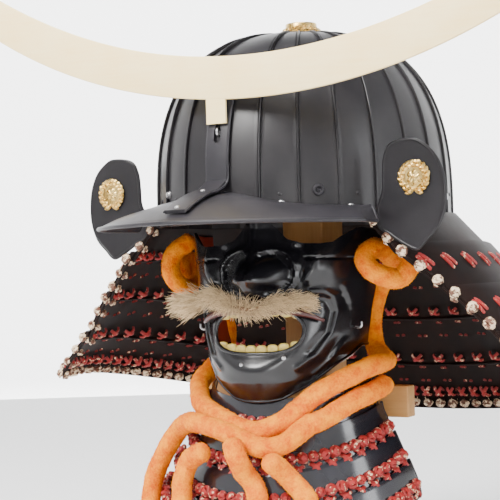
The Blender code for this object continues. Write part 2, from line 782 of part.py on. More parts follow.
def make_badge(side, group, finish):
    """A round badge with a scalloped leaf edge and a raised middle."""
    name = "badge_left" if side > 0 else "badge_right"
    mesh = bpy.data.meshes.new(name)
    builder = bmesh.new()
    rings = []
    for radius, height in BADGE_ROWS:
        if radius == 0.0:
            rings.append([builder.verts.new((0, 0, height * BADGE_THICK))])
            continue
        ring = []
        for i in range(BADGE_LEAVES * 2):
            wave = 1.0 - (BADGE_NOTCH if i % 2 and radius == 1.0 else 0.0)
            angle = math.pi * i / BADGE_LEAVES
            r = BADGE_RADIUS * radius * wave
            ring.append(builder.verts.new((r * math.cos(angle), r * math.sin(angle), height * BADGE_THICK)))
        rings.append(ring)
    for upper, lower in zip(rings, rings[1:]):
        count = max(len(upper), len(lower))
        for i in range(count):
            j = (i + 1) % count
            if len(upper) == 1:
                builder.faces.new((upper[0], lower[i], lower[j]))
            elif len(lower) == 1:
                builder.faces.new((upper[j], upper[i], lower[0]))
            else:
                builder.faces.new((upper[i], lower[i], lower[j], upper[j]))
    bmesh.ops.recalc_face_normals(builder, faces=builder.faces)
    builder.to_mesh(mesh)
    builder.free()
    item = add_object(name, mesh, group, finish)
    y = turn_back_y() - TURN_BACK_THICK - GAP
    middle = Matrix.Translation((side * (turn_back_x() + BADGE_SHIFT), y, RIM_Z + BADGE_Z))
    item.matrix_world = middle @ Matrix.Rotation(math.pi / 2, 4, "X")
    return item


def mask_level(z):
    """The share of the way from the cheeks' top to the chin's underside."""
    return (z - MASK_TOP_Z) / (MASK_CHIN_Z - MASK_TOP_Z)


def bump(value, middle, width):
    return math.exp(-((value - middle) / width) ** 2)


def mask_edge(rows, angle):
    """Height of the mask's upper or lower edge at an angle from its middle."""
    return MASK_CHIN_Z * between(rows, 1, abs(math.degrees(angle)))


def mask_relief(x, z):
    """How far the nose, cheeks, mouth and folds stand out from the plain shell."""
    side, down = abs(x) / MASK_HALF_WIDTH, z / MASK_CHIN_Z
    relief = NOSE_REACH * between(NOSE_ROWS, 1, down) * bump(side, 0.0, between(NOSE_ROWS, 2, down))
    for height, across, across_spread, depth, depth_spread in MASK_FORMS:
        relief += NOSE_REACH * height * bump(side, across, across_spread) * bump(down, depth, depth_spread)
    around = math.hypot(side * FOLD_ACROSS, (down - FOLD_DEPTH) * FOLD_DOWN)
    below = min(1.0, max(0.0, (down - FOLD_FROM) / FOLD_FADE))
    relief += FOLD_HEIGHT * bump(around, FOLD_RADIUS, FOLD_SPREAD) * below
    ring = bump(around, MOUTH_RING, MOUTH_SPREAD)
    return relief + MOUTH_RISE * ring * bump(down, MOUTH_DEPTH, MOUTH_DEPTH_SPREAD)


def mask_point(turn, z):
    """A point on the mask's outer face: turn from -1 to 1 across it, z from the rim."""
    level = min(1.0, max(0.0, mask_level(z)))
    wide = MASK_HALF_WIDTH * between(MASK_ROWS, 1, level)
    deep = MASK_DEPTH * between(MASK_ROWS, 2, level)
    angle = turn * math.pi / 2
    x = wide * math.sin(angle) * (1.0 + MASK_FULLNESS * math.cos(angle) ** 2)
    forward = deep * max(0.0, math.cos(angle)) ** MASK_SQUARENESS + mask_relief(x, z)
    return Vector((x, -forward, z))


def mask_frame():
    return Matrix.Translation((0, MASK_PIVOT_Y, RIM_Z)) @ Matrix.Rotation(math.radians(MASK_TURN_DEG), 4, "Z")


def mask_grid(columns, rows):
    """The mask's outer face as rows of points, from its upper edge to its lower one."""
    frame = mask_frame()
    steps = [-1.0 + 2.0 * i / columns for i in range(columns + 1)]
    turns = [math.sin(math.pi / 2 * step) * SIDE_CROWDING + step * (1.0 - SIDE_CROWDING) for step in steps]
    grid = []
    for j in range(rows + 1):
        share = j / rows
        line = []
        for turn in turns:
            angle = turn * math.pi / 2
            top, bottom = mask_edge(MASK_TOP_ROWS, angle), mask_edge(MASK_BOTTOM_ROWS, angle)
            z = top + (bottom - top) * share
            line.append(mask_point(turn, z))
        first, last = line[0], line[-1]
        back = Vector((0, MASK_BACK, 0))
        line = [first + back] + line + [last + back]
        grid.append([tuple(frame @ p) for p in line])
    return grid


def mouth_outline():
    """The mouth's opening, wider above than below."""
    middle = (MOUTH_TOP_Z + MOUTH_BOTTOM_Z) / 2
    half = (MOUTH_TOP_Z - MOUTH_BOTTOM_Z) / 2
    outline = []
    for i in range(MOUTH_CORNERS):
        angle = 2 * math.pi * i / MOUTH_CORNERS
        c, s = math.cos(angle), math.sin(angle)
        x = MOUTH_HALF_WIDTH * math.copysign(abs(c) ** MOUTH_SQUARE_X, c) * (1.0 + MOUTH_FLARE * s)
        z = half * math.copysign(abs(s) ** MOUTH_SQUARE_Z, s)
        arch = MOUTH_ARCH * (1 - (x / MOUTH_HALF_WIDTH) ** 2) if s > 0 else 0.0
        outline.append((x, middle + z + arch))
    return outline


def make_mask(group, cutters, finish):
    shell = surface_object("mask", mask_grid(MASK_COLUMNS, MASK_LINES), group, finish, MASK_WALL)
    upright = mask_frame() @ Matrix.Translation((0, -MASK_DEPTH, 0)) @ Matrix.Rotation(math.pi / 2, 4, "X")
    cutter = prism("mouth_cutter", mouth_outline(), MASK_DEPTH * 1.2, group, finish, upright)
    as_cutter(cutter, cutters)
    boolean(shell, cutter, "DIFFERENCE", "mouth")
    return shell


def mask_turn_at(x, z):
    """The turn at which the mask's outer face is at x, found by halving."""
    low, high = -1.0, 1.0
    for _ in range(30):
        middle = (low + high) / 2
        if mask_point(middle, z).x < x:
            low = middle
        else:
            high = middle
    return (low + high) / 2


def on_mask(x, z, lift=0.0):
    """A point off the mask's outer face by lift along its normal, in the model's frame."""
    turn, step, rise = mask_turn_at(x, z), NORMAL_STEP, NORMAL_RISE
    across = mask_point(turn + step, z) - mask_point(turn - step, z)
    down = mask_point(turn, z - rise) - mask_point(turn, z + rise)
    normal = down.cross(across).normalized()
    return mask_frame() @ (mask_point(turn, z) + normal * lift)


def make_upper_lip(group, finish):
    """A strip along the upper edge of the mouth, just proud of the mask."""
    half = MOUTH_HALF_WIDTH * LIP_SPAN
    points = []
    for i in range(LIP_STEPS + 1):
        share = -1.0 + 2.0 * i / LIP_STEPS
        z = MOUTH_TOP_Z + LIP_RISE + LIP_ARCH * (1 - share ** 2) - LIP_CORNER_DROP * abs(share) ** 3
        points.append(tuple(on_mask(half * share, z, LIP_RADIUS + LIP_CLEAR)))
    return tube("upper_lip", points, LIP_RADIUS, group, finish)


def teeth_row(name, side, group, finish):
    """A row of teeth fused to a strip behind the mask's edge; side is 1 for the lower row."""
    base_z = MOUTH_BOTTOM_Z - LOWER_TEETH_DROP if side > 0 else MOUTH_TOP_Z + UPPER_TEETH_RISE
    span = TEETH_COUNT * TOOTH_PITCH
    count = TEETH_COUNT * TOOTH_STEPS
    frame = mask_frame()
    mesh = bpy.data.meshes.new(name)
    builder = bmesh.new()
    loops = []
    for i in range(count + 1):
        share = -1.0 + 2.0 * i / count
        x = span / 2 * share
        swell = math.sin(math.pi * (i % TOOTH_STEPS) / TOOTH_STEPS)
        middle = base_z + side * TEETH_CURVE * share ** 2
        tip = middle + side * TEETH_HEIGHT * (TOOTH_VALLEY + (TOOTH_CREST - TOOTH_VALLEY) * swell)
        root = middle - side * TEETH_HEIGHT * TOOTH_ROOT
        front = (frame.inverted() @ on_mask(x, base_z)).y + MASK_WALL + TEETH_CLEAR
        back = front + TOOTH_THICK
        ring = [(x, front, tip), (x, front, root), (x, back, root), (x, back, tip)]
        loops.append([builder.verts.new(frame @ Vector(p)) for p in ring])
    for a, b in zip(loops, loops[1:]):
        for k in range(4):
            n = (k + 1) % 4
            builder.faces.new((a[k], a[n], b[n], b[k]))
    builder.faces.new(loops[0][::-1])
    builder.faces.new(loops[-1])
    bmesh.ops.recalc_face_normals(builder, faces=builder.faces)
    builder.to_mesh(mesh)
    builder.free()
    return add_object(name, mesh, group, finish)


def moustache_ring(share, long_lock):
    """The six corners of one slice through the moustache: a flat core and a lock above and below."""
    z = MOUTH_TOP_Z + MOUSTACHE_RISE - MOUSTACHE_SAG * share ** 2
    x = MOUSTACHE_SHIFT + MOUSTACHE_HALF_SPAN * share
    middle = on_mask(x, z, MOUSTACHE_LIFT)
    ahead = (on_mask(x, z, MOUSTACHE_LIFT + MOUSTACHE_CORE) - middle).normalized()
    turn = mask_frame().to_3x3()
    up, out = turn @ Vector((0, 0, 1)), turn @ Vector((math.copysign(1, share), 0, 0)) * abs(share)
    reach = (MOUSTACHE_LOCK + MOUSTACHE_FAN * abs(share)) * (1.0 if long_lock else SHORT_LOCK_SHARE)
    ring = []
    for rise, forward, lean in MOUSTACHE_RING:
        place = middle + up * rise * reach + ahead * forward * MOUSTACHE_CORE + out * lean * reach
        ring.append(place)
    return ring


def make_moustache(group, finish):
    """A curved core whose slices run out above and below into locks, as one body."""
    shares = [-1.0 + 2.0 * i / MOUSTACHE_SLICES for i in range(MOUSTACHE_SLICES + 1)]
    rings = [moustache_ring(share, i % 2 == 0) for i, share in enumerate(shares)]
    mesh = bpy.data.meshes.new("moustache")
    builder = bmesh.new()
    loops = [[builder.verts.new(p) for p in ring] for ring in rings]
    for a, b in zip(loops, loops[1:]):
        for k in range(len(MOUSTACHE_RING)):
            n = (k + 1) % len(MOUSTACHE_RING)
            builder.faces.new((a[k], a[n], b[n], b[k]))
    builder.faces.new(loops[0][::-1])
    builder.faces.new(loops[-1])
    bmesh.ops.triangulate(builder, faces=builder.faces)
    bmesh.ops.recalc_face_normals(builder, faces=builder.faces)
    builder.to_mesh(mesh)
    builder.free()
    return add_object("moustache", mesh, group, finish)


def throat_value(level, column):
    return float(np.interp(level, range(len(THROAT_ROWS)), [row[column] for row in THROAT_ROWS]))


def throat_point(level, share, lift):
    """A point on the throat guard, share from -1 to 1 across it."""
    angle = share * math.radians(THROAT_SPAN_DEG)
    wide = MASK_HALF_WIDTH * throat_value(level, 0) + lift
    deep = MASK_DEPTH * throat_value(level, 1) + lift
    ends, middle = throat_value(level, 2), throat_value(level, 3)
    z = MASK_CHIN_Z * (ends + (middle - ends) * math.cos(angle))
    return mask_frame() @ Vector((wide * math.sin(angle) + THROAT_SHIFT, -deep * math.cos(angle), z))


def make_throat_lames(group, finish):
    for index in range(len(THROAT_ROWS) - 1):
        levels = [index - THROAT_LAP if index else 0.0, index + 0.5, index + 1.0]
        lifts = [(LAME_THICK + LAME_GAP) * share if index else 0.0 for share in THROAT_LIFTS]
        rows = []
        for level, lift in zip(reversed(levels), reversed(lifts)):
            shares = [1.0 - 2.0 * k / THROAT_COLUMNS for k in range(THROAT_COLUMNS + 1)]
            rows.append([tuple(throat_point(level, share, lift)) for share in shares])
        surface_object(f"throat_lame_{index + 1}", rows, group, finish, LAME_THICK)


def cord_line(route, spacing):
    """Evenly spaced points along a cord's route, in the model's frame."""
    points = [Vector((x, y, RIM_Z + z)) for x, y, z in route]
    length = sum((b - a).length for a, b in zip(points, points[1:]))
    return catmull(points, max(4, round(length / spacing)))


def make_cords(group, finish):
    for name, route in CORD_ROUTES.items():
        tube(name, cord_line(route, CORD_DIAMETER), CORD_DIAMETER / 2, group, finish)


def make_knot(group, cutters, finish):
    """The wraps of the chin cord's knot, fused into one body."""
    wraps = []
    for index, route in enumerate(KNOT_ROUTES):
        name = "cord_knot" if index == 0 else f"knot_wrap_{index}"
        helper = tube(name, cord_line(route, CORD_DIAMETER * KNOT_STEP), CORD_DIAMETER / 2, group, finish)
        curve = helper.data
        bpy.data.objects.remove(helper, do_unlink=True)
        wraps.append(curve_to_mesh(name, curve, group, finish, Matrix.Identity(4)))
    for index, wrap in enumerate(wraps[1:]):
        boolean(wraps[0], as_cutter(wrap, cutters), "UNION", f"wrap_{index}")
    return wraps[0]


def make_stand(group, finish):
    half = BASE_SIDE / 2
    box("stand_base", (-half, -half, 0), (half, half, BASE_THICK), group, finish, edge=BASE_EDGE)
    top = RIM_Z + BOWL_HEIGHT - BOWL_WALL - HEAD_BLOCK_CLEAR
    block_low = top - HEAD_BLOCK_HEIGHT
    side = POST_SIDE / 2
    front = BAR_FRONT_Y + BAR_DEPTH + GAP
    box("stand_post", (-side, front, BASE_THICK + GAP), (side, front + POST_SIDE, block_low - GAP), group,
        finish, edge=POST_EDGE)
    profile = []
    for radius, drop in HEAD_BLOCK_ROWS:
        profile.append((HEAD_BLOCK_RADIUS * radius, top - HEAD_BLOCK_HEIGHT * drop))
    turned("stand_head_block", profile, group, finish)
    z_top = RIM_Z - BAR_TOP_DROP
    box("stand_bar", (-BAR_LENGTH / 2, BAR_FRONT_Y, z_top - BAR_HEIGHT),
        (BAR_LENGTH / 2, BAR_FRONT_Y + BAR_DEPTH, z_top), group, finish, edge=BAR_EDGE)


def main():
    clear_scene()
    group = new_collection("samurai_helmet")
    cutters = new_collection("cutters", hidden=True)
    iron = material("russet_iron", (0.045, 0.045, 0.05), 0.42, 0.6)
    satin = material("satin_iron", (0.08, 0.08, 0.09), 0.35, 0.6)
    lacquer = material("black_lacquer", (0.008, 0.008, 0.01), 0.12)
    gilt = material("gilt_metal", (0.75, 0.55, 0.2), 0.32, 1.0)
    horn = material("crest_gilt", (0.95, 0.85, 0.6), 0.35, 0.3)
    red = material("lip_lacquer", (0.16, 0.03, 0.03), 0.25)
    ivory = material("tooth_gilt", (0.8, 0.72, 0.4), 0.35, 0.2)
    hair = material("moustache_hair", (0.8, 0.75, 0.62), 0.7)
    velvet = material("orange_velvet", (0.85, 0.33, 0.03), 0.9)
    wood = material("pale_wood", (0.72, 0.5, 0.28), 0.6)
    make_stand(group, wood)
    make_bowl(group, iron)
    make_crown(group, gilt)
    make_peak(group, satin)
    make_bracket(group, cutters, satin)
    make_crest(group, cutters, horn)
    make_neck_lames(group, iron)
    for side in (1, -1):
        make_turn_back(side, group, satin)
        make_badge(side, group, gilt)
    make_mask(group, cutters, lacquer)
    make_upper_lip(group, red)
    teeth_row("lower_teeth", 1, group, ivory)
    teeth_row("upper_teeth", -1, group, ivory)
    make_moustache(group, hair)
    make_throat_lames(group, lacquer)
    make_cords(group, velvet)
    make_knot(group, cutters, velvet)


main()
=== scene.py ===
"""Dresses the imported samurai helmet: its finishes, lacing, bristles and velvet cord.

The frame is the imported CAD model, in metres, with the front towards -Y and the wearer's left
towards +X. Each sub-assembly is a class that holds its sizes and builds its own pieces.
"""

import json
import logging
import math
from collections.abc import Callable, Iterable, Iterator, Sequence
from contextlib import contextmanager
from dataclasses import dataclass, field
from enum import Enum

import bmesh
import bpy
import numpy as np
from mathutils import Matrix, Vector, noise

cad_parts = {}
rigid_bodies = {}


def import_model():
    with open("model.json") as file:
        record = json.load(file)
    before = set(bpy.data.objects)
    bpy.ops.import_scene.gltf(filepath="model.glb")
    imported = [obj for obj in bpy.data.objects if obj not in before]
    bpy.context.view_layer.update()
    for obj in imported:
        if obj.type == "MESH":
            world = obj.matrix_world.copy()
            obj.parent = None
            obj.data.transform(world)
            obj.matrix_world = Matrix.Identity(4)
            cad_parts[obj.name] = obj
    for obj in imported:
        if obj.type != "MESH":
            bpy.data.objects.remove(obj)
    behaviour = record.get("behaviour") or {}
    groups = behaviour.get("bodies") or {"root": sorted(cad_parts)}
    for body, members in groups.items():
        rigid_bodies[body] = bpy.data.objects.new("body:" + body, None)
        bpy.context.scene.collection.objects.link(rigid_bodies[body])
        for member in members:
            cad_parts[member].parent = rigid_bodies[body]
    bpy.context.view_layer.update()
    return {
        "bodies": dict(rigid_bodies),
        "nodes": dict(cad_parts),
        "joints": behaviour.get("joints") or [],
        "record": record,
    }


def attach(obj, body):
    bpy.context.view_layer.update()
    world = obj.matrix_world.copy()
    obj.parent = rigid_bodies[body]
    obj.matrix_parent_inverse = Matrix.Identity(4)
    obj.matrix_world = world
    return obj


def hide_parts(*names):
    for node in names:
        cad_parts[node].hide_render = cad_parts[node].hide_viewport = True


LOG = logging.getLogger("samurai_helmet")
Point = tuple[float, float, float]
RIM_Z = 0.30
BODY = "root"
DOUBLE = 1e-6


def fill_node(made: bpy.types.Node, links: bpy.types.NodeLinks, settings: dict[str, object] | None,
              inputs: dict[object, object] | None) -> bpy.types.Node:
    """Sets a new node's attributes and inputs.

    Args:
        made: the node.
        links: the links of its tree.
        settings: attributes that are set first.
        inputs: values or output sockets, by the inputs' names or numbers.

    Returns:
        The node.
    """
    for key, value in (settings or {}).items():
        setattr(made, key, value)
    for key, value in (inputs or {}).items():
        socket = made.inputs[key]
        if isinstance(value, bpy.types.NodeSocket):
            links.new(value, socket)
        elif isinstance(value, tuple) and len(value) == 3 and socket.type == "RGBA":
            socket.default_value = (*value, 1.0)
        else:
            socket.default_value = value
    return made


class Shade:
    """An output socket in a shader tree that can be used in expressions."""

    def __init__(self, tree: "ShaderTree", socket: bpy.types.NodeSocket) -> None:
        """Wraps a socket of a tree."""
        self.tree = tree
        self.socket = socket

    def _math(self, operation: str, first: object, second: object) -> "Shade":
        """Adds one Math node."""
        return self.tree.node("ShaderNodeMath", {"operation": operation}, {0: first, 1: second})

    def __add__(self, other: object) -> "Shade":
        """Adds a value."""
        return self._math("ADD", self, other)

    __radd__ = __add__

    def __mul__(self, other: object) -> "Shade":
        """Multiplies by a value."""
        return self._math("MULTIPLY", self, other)

    __rmul__ = __mul__

    def __sub__(self, other: object) -> "Shade":
        """Takes a value away."""
        return self._math("SUBTRACT", self, other)

    def __rsub__(self, other: object) -> "Shade":
        """Is taken away from a value."""
        return self._math("SUBTRACT", other, self)

    def clamped(self, low: float, high: float, to_low: float = 0.0, to_high: float = 1.0) -> "Shade":
        """Maps a range to another one and holds it there.

        Args:
            low: the value that gives to_low.
            high: the value that gives to_high.
            to_low: the result at low.
            to_high: the result at high.

        Returns:
            The mapped value.
        """
        inputs = {"Value": self, "From Min": low, "From Max": high, "To Min": to_low, "To Max": to_high}
        return self.tree.node("ShaderNodeMapRange", {"clamp": True}, inputs)


class ShaderTree:
    """A material's node tree with one method that makes any node."""

    def __init__(self, name: str) -> None:
        """Starts a material that holds only its output node."""
        self.material = bpy.data.materials.new(name)
        self.material.use_nodes = True
        self.nodes = self.material.node_tree.nodes
        self.links = self.material.node_tree.links
        self.nodes.clear()
        self.output = self.nodes.new("ShaderNodeOutputMaterial")

    def node(self, kind: str, settings: dict[str, object] | None = None,
             inputs: dict[object, object] | None = None, out: object = 0) -> Shade:
        """Makes one node and returns one of its outputs, by name or number."""
        plain = {key: value.socket if isinstance(value, Shade) else value
                 for key, value in (inputs or {}).items()}
        made = fill_node(self.nodes.new(kind), self.links, settings, plain)
        return Shade(self, made.outputs[out])

    def place(self) -> Shade:
        """Returns the object coordinates."""
        return self.node("ShaderNodeTexCoord", out="Object")

    def attribute(self, name: str) -> Shade:
        """Returns a named attribute of the mesh as a number."""
        return self.node("ShaderNodeAttribute", {"attribute_name": name}, out="Fac")

    def stretched(self, scale: Point) -> Shade:
        """Returns scaled object coordinates."""
        return self.node("ShaderNodeMapping", None, {"Vector": self.place(), "Scale": scale})

    def noise(self, scale: float, detail: float = 3.0, vector: Shade | None = None,
              roughness: float = 0.55) -> Shade:
        """Returns a noise value at a scale in features per metre."""
        inputs = {"Vector": vector or self.place(), "Scale": scale, "Detail": detail, "Roughness": roughness}
        return self.node("ShaderNodeTexNoise", None, inputs)

    def mix(self, factor: object, first: object, second: object) -> Shade:
        """Mixes two colours by a factor."""
        return self.node("ShaderNodeMix", {"data_type": "RGBA"}, {0: factor, 6: first, 7: second}, 2)

    def bump(self, height: Shade, strength: float, distance: float) -> Shade:
        """Returns a normal bent by a height in metres of distance."""
        inputs = {"Height": height, "Strength": strength, "Distance": distance}
        return self.node("ShaderNodeBump", None, inputs)

    def surface(self, inputs: dict[str, object]) -> bpy.types.Material:
        """Ends the tree in a Principled shader and returns the material."""
        shader = self.node("ShaderNodeBsdfPrincipled", None, inputs)
        self.links.new(shader.socket, self.output.inputs["Surface"])
        return self.material


@dataclass(frozen=True)
class IronFinish:
    """Dark lacquered iron with a faint mottle, fine grain and a little wear."""

    name: str
    colour: Point
    worn: Point
    roughness: float
    metallic: float = 0.0
    grain: float = 0.00006
    specular: float = 0.35

    def build(self) -> bpy.types.Material:
        """Returns the material."""
        tree = ShaderTree(self.name)
        cloud = tree.noise(38.0, 5.0)
        fine = tree.noise(900.0, 2.0)
        streak = tree.noise(7.0, 4.0, tree.stretched((9.0, 9.0, 1.0)))
        mask = (cloud * 0.6 + streak * 0.4).clamped(0.40, 0.66)
        colour = tree.mix(mask, self.colour, self.worn)
        rough = (cloud * 0.22 + self.roughness - 0.11).clamped(0.05, 1.0, 0.05, 1.0)
        normal = tree.bump(fine * 0.6 + cloud * 0.8, 0.5, self.grain)
        return tree.surface({"Base Color": colour, "Roughness": rough, "Metallic": self.metallic,
                             "Normal": normal, "Specular IOR Level": self.specular})


@dataclass(frozen=True)
class LacquerFinish:
    """Deep glossy lacquer with a barely uneven surface."""

    name: str
    colour: Point
    patch: Point
    roughness: float = 0.15
    ripple: float = 0.00005
    coat: float = 0.3

    def build(self) -> bpy.types.Material:
        """Returns the material."""
        tree = ShaderTree(self.name)
        cloud = tree.noise(22.0, 3.0)
        dust = tree.noise(650.0, 2.0)
        colour = tree.mix(cloud.clamped(0.45, 0.75), self.colour, self.patch)
        rough = dust.clamped(0.35, 0.8, self.roughness, self.roughness + 0.06)
        normal = tree.bump(cloud, 0.35, self.ripple)
        return tree.surface({"Base Color": colour, "Roughness": rough, "Normal": normal,
                             "Coat Weight": self.coat, "Coat Roughness": 0.10})


@dataclass(frozen=True)
class MetalFinish:
    """Gilt or pale gold metal with a soft brushed grain and darker hollows."""

    name: str
    colour: Point
    shadow: Point
    roughness: float
    metallic: float
    brush: Point = (1.0, 1.0, 1.0)
    depth: float = 0.00005

    def build(self) -> bpy.types.Material:
        """Returns the material."""
        tree = ShaderTree(self.name)
        grain = tree.noise(420.0, 4.0, tree.stretched(self.brush))
        cloud = tree.noise(30.0, 3.0)
        mask = (grain * 0.45 + cloud * 0.55).clamped(0.36, 0.62)
        colour = tree.mix(mask, self.shadow, self.colour)
        rough = grain.clamped(0.3, 0.7, self.roughness - 0.05, self.roughness + 0.08)
        normal = tree.bump(grain, 0.5, self.depth)
        return tree.surface({"Base Color": colour, "Roughness": rough, "Metallic": self.metallic,
                             "Normal": normal})


@dataclass(frozen=True)
class VelvetFinish:
    """Thick orange pile with painted light and shade: bright where it stands up and deeper in its creases."""

    name: str
    bright: Point
    deep: Point
    sheen: Point = (1.0, 0.50, 0.10)

    def build(self) -> bpy.types.Material:
        """Returns the material."""
        tree = ShaderTree(self.name)
        fluff = tree.noise(620.0, 3.0)
        clump = tree.noise(120.0, 3.0)
        # The deep colour is painted shade and the bright one painted light, laid in noise clumps rather than
        # by the real creases.
        mask = (fluff * 0.35 + clump * 0.65).clamped(0.36, 0.62)
        colour = tree.mix(mask, self.deep, self.bright)
        normal = tree.bump(fluff + clump, 0.7, 0.0012)
        return tree.surface({"Base Color": colour, "Roughness": 0.95, "Normal": normal,
                             "Sheen Weight": 0.15, "Sheen Roughness": 0.45,
                             "Sheen Tint": (*self.sheen, 1.0), "Specular IOR Level": 0.1})


@dataclass(frozen=True)
class BraidFinish:
    """Twisted silk in two colours, speckled along its strands, with painted shade towards each knot's foot.
    """

    name: str
    ground: Point
    fleck: Point
    share: float
    scale: float = 260.0

    def build(self) -> bpy.types.Material:
        """Returns the material."""
        tree = ShaderTree(self.name)
        speck = tree.noise(self.scale, 2.0)
        strand = tree.noise(self.scale * 3.2, 2.0)
        mask = (speck * 0.75 + strand * 0.25).clamped(0.60 - 0.2 * self.share, 0.66 - 0.2 * self.share)
        # Painted shade: the ground darkens to 45% where "tone" is low, towards each knot's foot on the lame.
        shade = tree.attribute("tone")
        ground = tree.mix(shade, tuple(c * 0.45 for c in self.ground), self.ground)
        colour = tree.mix(mask, ground, self.fleck)
        normal = tree.bump(strand + speck, 0.8, 0.0006)
        return tree.surface({"Base Color": colour, "Roughness": 0.62, "Normal": normal,
                             "Sheen Weight": 0.03, "Sheen Roughness": 0.4})


@dataclass(frozen=True)
class HairFinish:
    """Fine hairs whose colour runs from a dark root to a pale tip."""

    name: str
    pale: Point
    dark: Point
    sheen: float = 0.2

    def build(self) -> bpy.types.Material:
        """Returns the material."""
        tree = ShaderTree(self.name)
        tone = tree.attribute("tone")
        colour = tree.mix(tone, self.dark, self.pale)
        return tree.surface({"Base Color": colour, "Roughness": 0.6, "Sheen Weight": self.sheen,
                             "Specular IOR Level": 0.25})


@dataclass(frozen=True)
class WoodFinish:
    """Pale softwood with grain along one axis."""

    name: str
    pale: Point
    dark: Point
    along: Point

    def build(self) -> bpy.types.Material:
        """Returns the material."""
        tree = ShaderTree(self.name)
        space = tree.stretched(self.along)
        warp = tree.noise(5.0, 4.0, space)
        ring = tree.noise(46.0, 5.0, space, 0.7)
        pore = tree.noise(260.0, 3.0, space)
        mask = (warp * 0.45 + ring * 0.4 + pore * 0.15).clamped(0.40, 0.62)
        colour = tree.mix(mask, self.pale, self.dark)
        normal = tree.bump(ring + pore, 0.5, 0.00012)
        return tree.surface({"Base Color": colour, "Roughness": pore.clamped(0.3, 0.7, 0.5, 0.68),
                             "Normal": normal})


@dataclass(frozen=True)
class PlainFinish:
    """A pale stage surface with a very faint cloud."""

    name: str
    colour: Point

    def build(self) -> bpy.types.Material:
        """Returns the material."""
        tree = ShaderTree(self.name)
        cloud = tree.noise(1.5, 2.0)
        colour = tree.mix(cloud, self.colour, tuple(c * 0.99 for c in self.colour))
        return tree.surface({"Base Color": colour, "Roughness": 0.9, "Specular IOR Level": 0.1})


class Finish(Enum):
    """The finishes of this helmet, each with the record's material slot.

    Their names end in "_look", so that none is the name of a material of the CAD model.
    """

    BOWL = (IronFinish("bowl_iron_look", (0.0085, 0.0075, 0.0090), (0.0150, 0.0130, 0.0145), 0.40),
            "russet_iron")
    LAME = (IronFinish("lame_iron_look", (0.0045, 0.0016, 0.0012), (0.0110, 0.0040, 0.0026), 0.55,
                       specular=0.12), "russet_iron")
    SATIN = (IronFinish("satin_iron_look", (0.0165, 0.0152, 0.0185), (0.0260, 0.0235, 0.0272), 0.42,
                        specular=0.30), "satin_iron")
    PADDLE = (IronFinish("paddle_iron_look", (0.0060, 0.0050, 0.0064), (0.0100, 0.0085, 0.0100), 0.34),
              "satin_iron")
    GILT = (MetalFinish("gilt_look", (0.88, 0.66, 0.26), (0.42, 0.25, 0.06), 0.28, 1.0, depth=0.0001),
            "gilt_metal")
    CREST = (MetalFinish("crest_gold_look", (1.0, 0.80, 0.41), (0.98, 0.73, 0.33), 0.42, 0.0,
                         (0.08, 1.0, 1.0), 0.00003), "crest_gilt")
    MASK = (LacquerFinish("mask_lacquer_look", (0.0040, 0.0037, 0.0050), (0.0060, 0.0054, 0.0066), 0.22,
                          coat=0.06), "black_lacquer")
    THROAT = (LacquerFinish("throat_lacquer_look", (0.012, 0.012, 0.016), (0.020, 0.020, 0.026), 0.14),
              "black_lacquer")
    INSIDE = (LacquerFinish("red_lining_look", (0.32, 0.035, 0.010), (0.18, 0.018, 0.007), 0.3, coat=0.15),
              "lip_lacquer")
    LIP = (LacquerFinish("lip_lacquer_look", (0.045, 0.007, 0.006), (0.080, 0.012, 0.010), 0.3, coat=0.15),
           "lip_lacquer")
    TOOTH = (MetalFinish("tooth_gilt_look", (0.62, 0.48, 0.13), (0.42, 0.29, 0.05), 0.34, 0.0, depth=0.00005),
             "tooth_gilt")
    HAIR = (HairFinish("bristle_look", (0.78, 0.58, 0.33), (0.15, 0.08, 0.04), 0.05), "moustache_hair")
    # Velvet and its pile: the darker colours are painted shade in the pile, and the paler ones painted light.
    VELVET = (VelvetFinish("velvet_look", (0.92, 0.300, 0.0005), (0.66, 0.095, 0.0005)), "orange_velvet")
    PILE = (HairFinish("velvet_pile_look", (0.90, 0.310, 0.001), (0.74, 0.140, 0.001), 0.0), "orange_velvet")
    RED_BRAID = (BraidFinish("red_braid_look", (0.30, 0.006, 0.004), (0.72, 0.46, 0.28), 0.16),
                 "orange_velvet")
    PALE_BRAID = (BraidFinish("pale_braid_look", (0.14, 0.050, 0.024), (0.76, 0.58, 0.38), 0.60),
                  "orange_velvet")
    STEEL = (MetalFinish("screw_steel_look", (0.55, 0.55, 0.56), (0.20, 0.19, 0.19), 0.28, 1.0), "satin_iron")
    WOOD_X = (WoodFinish("wood_across_look", (0.43, 0.22, 0.062), (0.26, 0.115, 0.030), (0.12, 1.0, 1.0)),
              "pale_wood")
    WOOD_Z = (WoodFinish("wood_upright_look", (0.43, 0.22, 0.062), (0.26, 0.115, 0.030), (1.0, 1.0, 0.12)),
              "pale_wood")

    @property
    def material(self) -> bpy.types.Material:
        """Returns the built material, made once."""
        recipe = self.value[0]
        return bpy.data.materials.get(recipe.name) or recipe.build()

    @property
    def slot(self) -> str:
        """Returns the record's material slot."""
        return self.value[1]


class Turn(Enum):
    """How scattered copies are turned about their own axis."""

    ALIGNED = 0.0
    LOOSE = 0.35
    ANY = math.pi


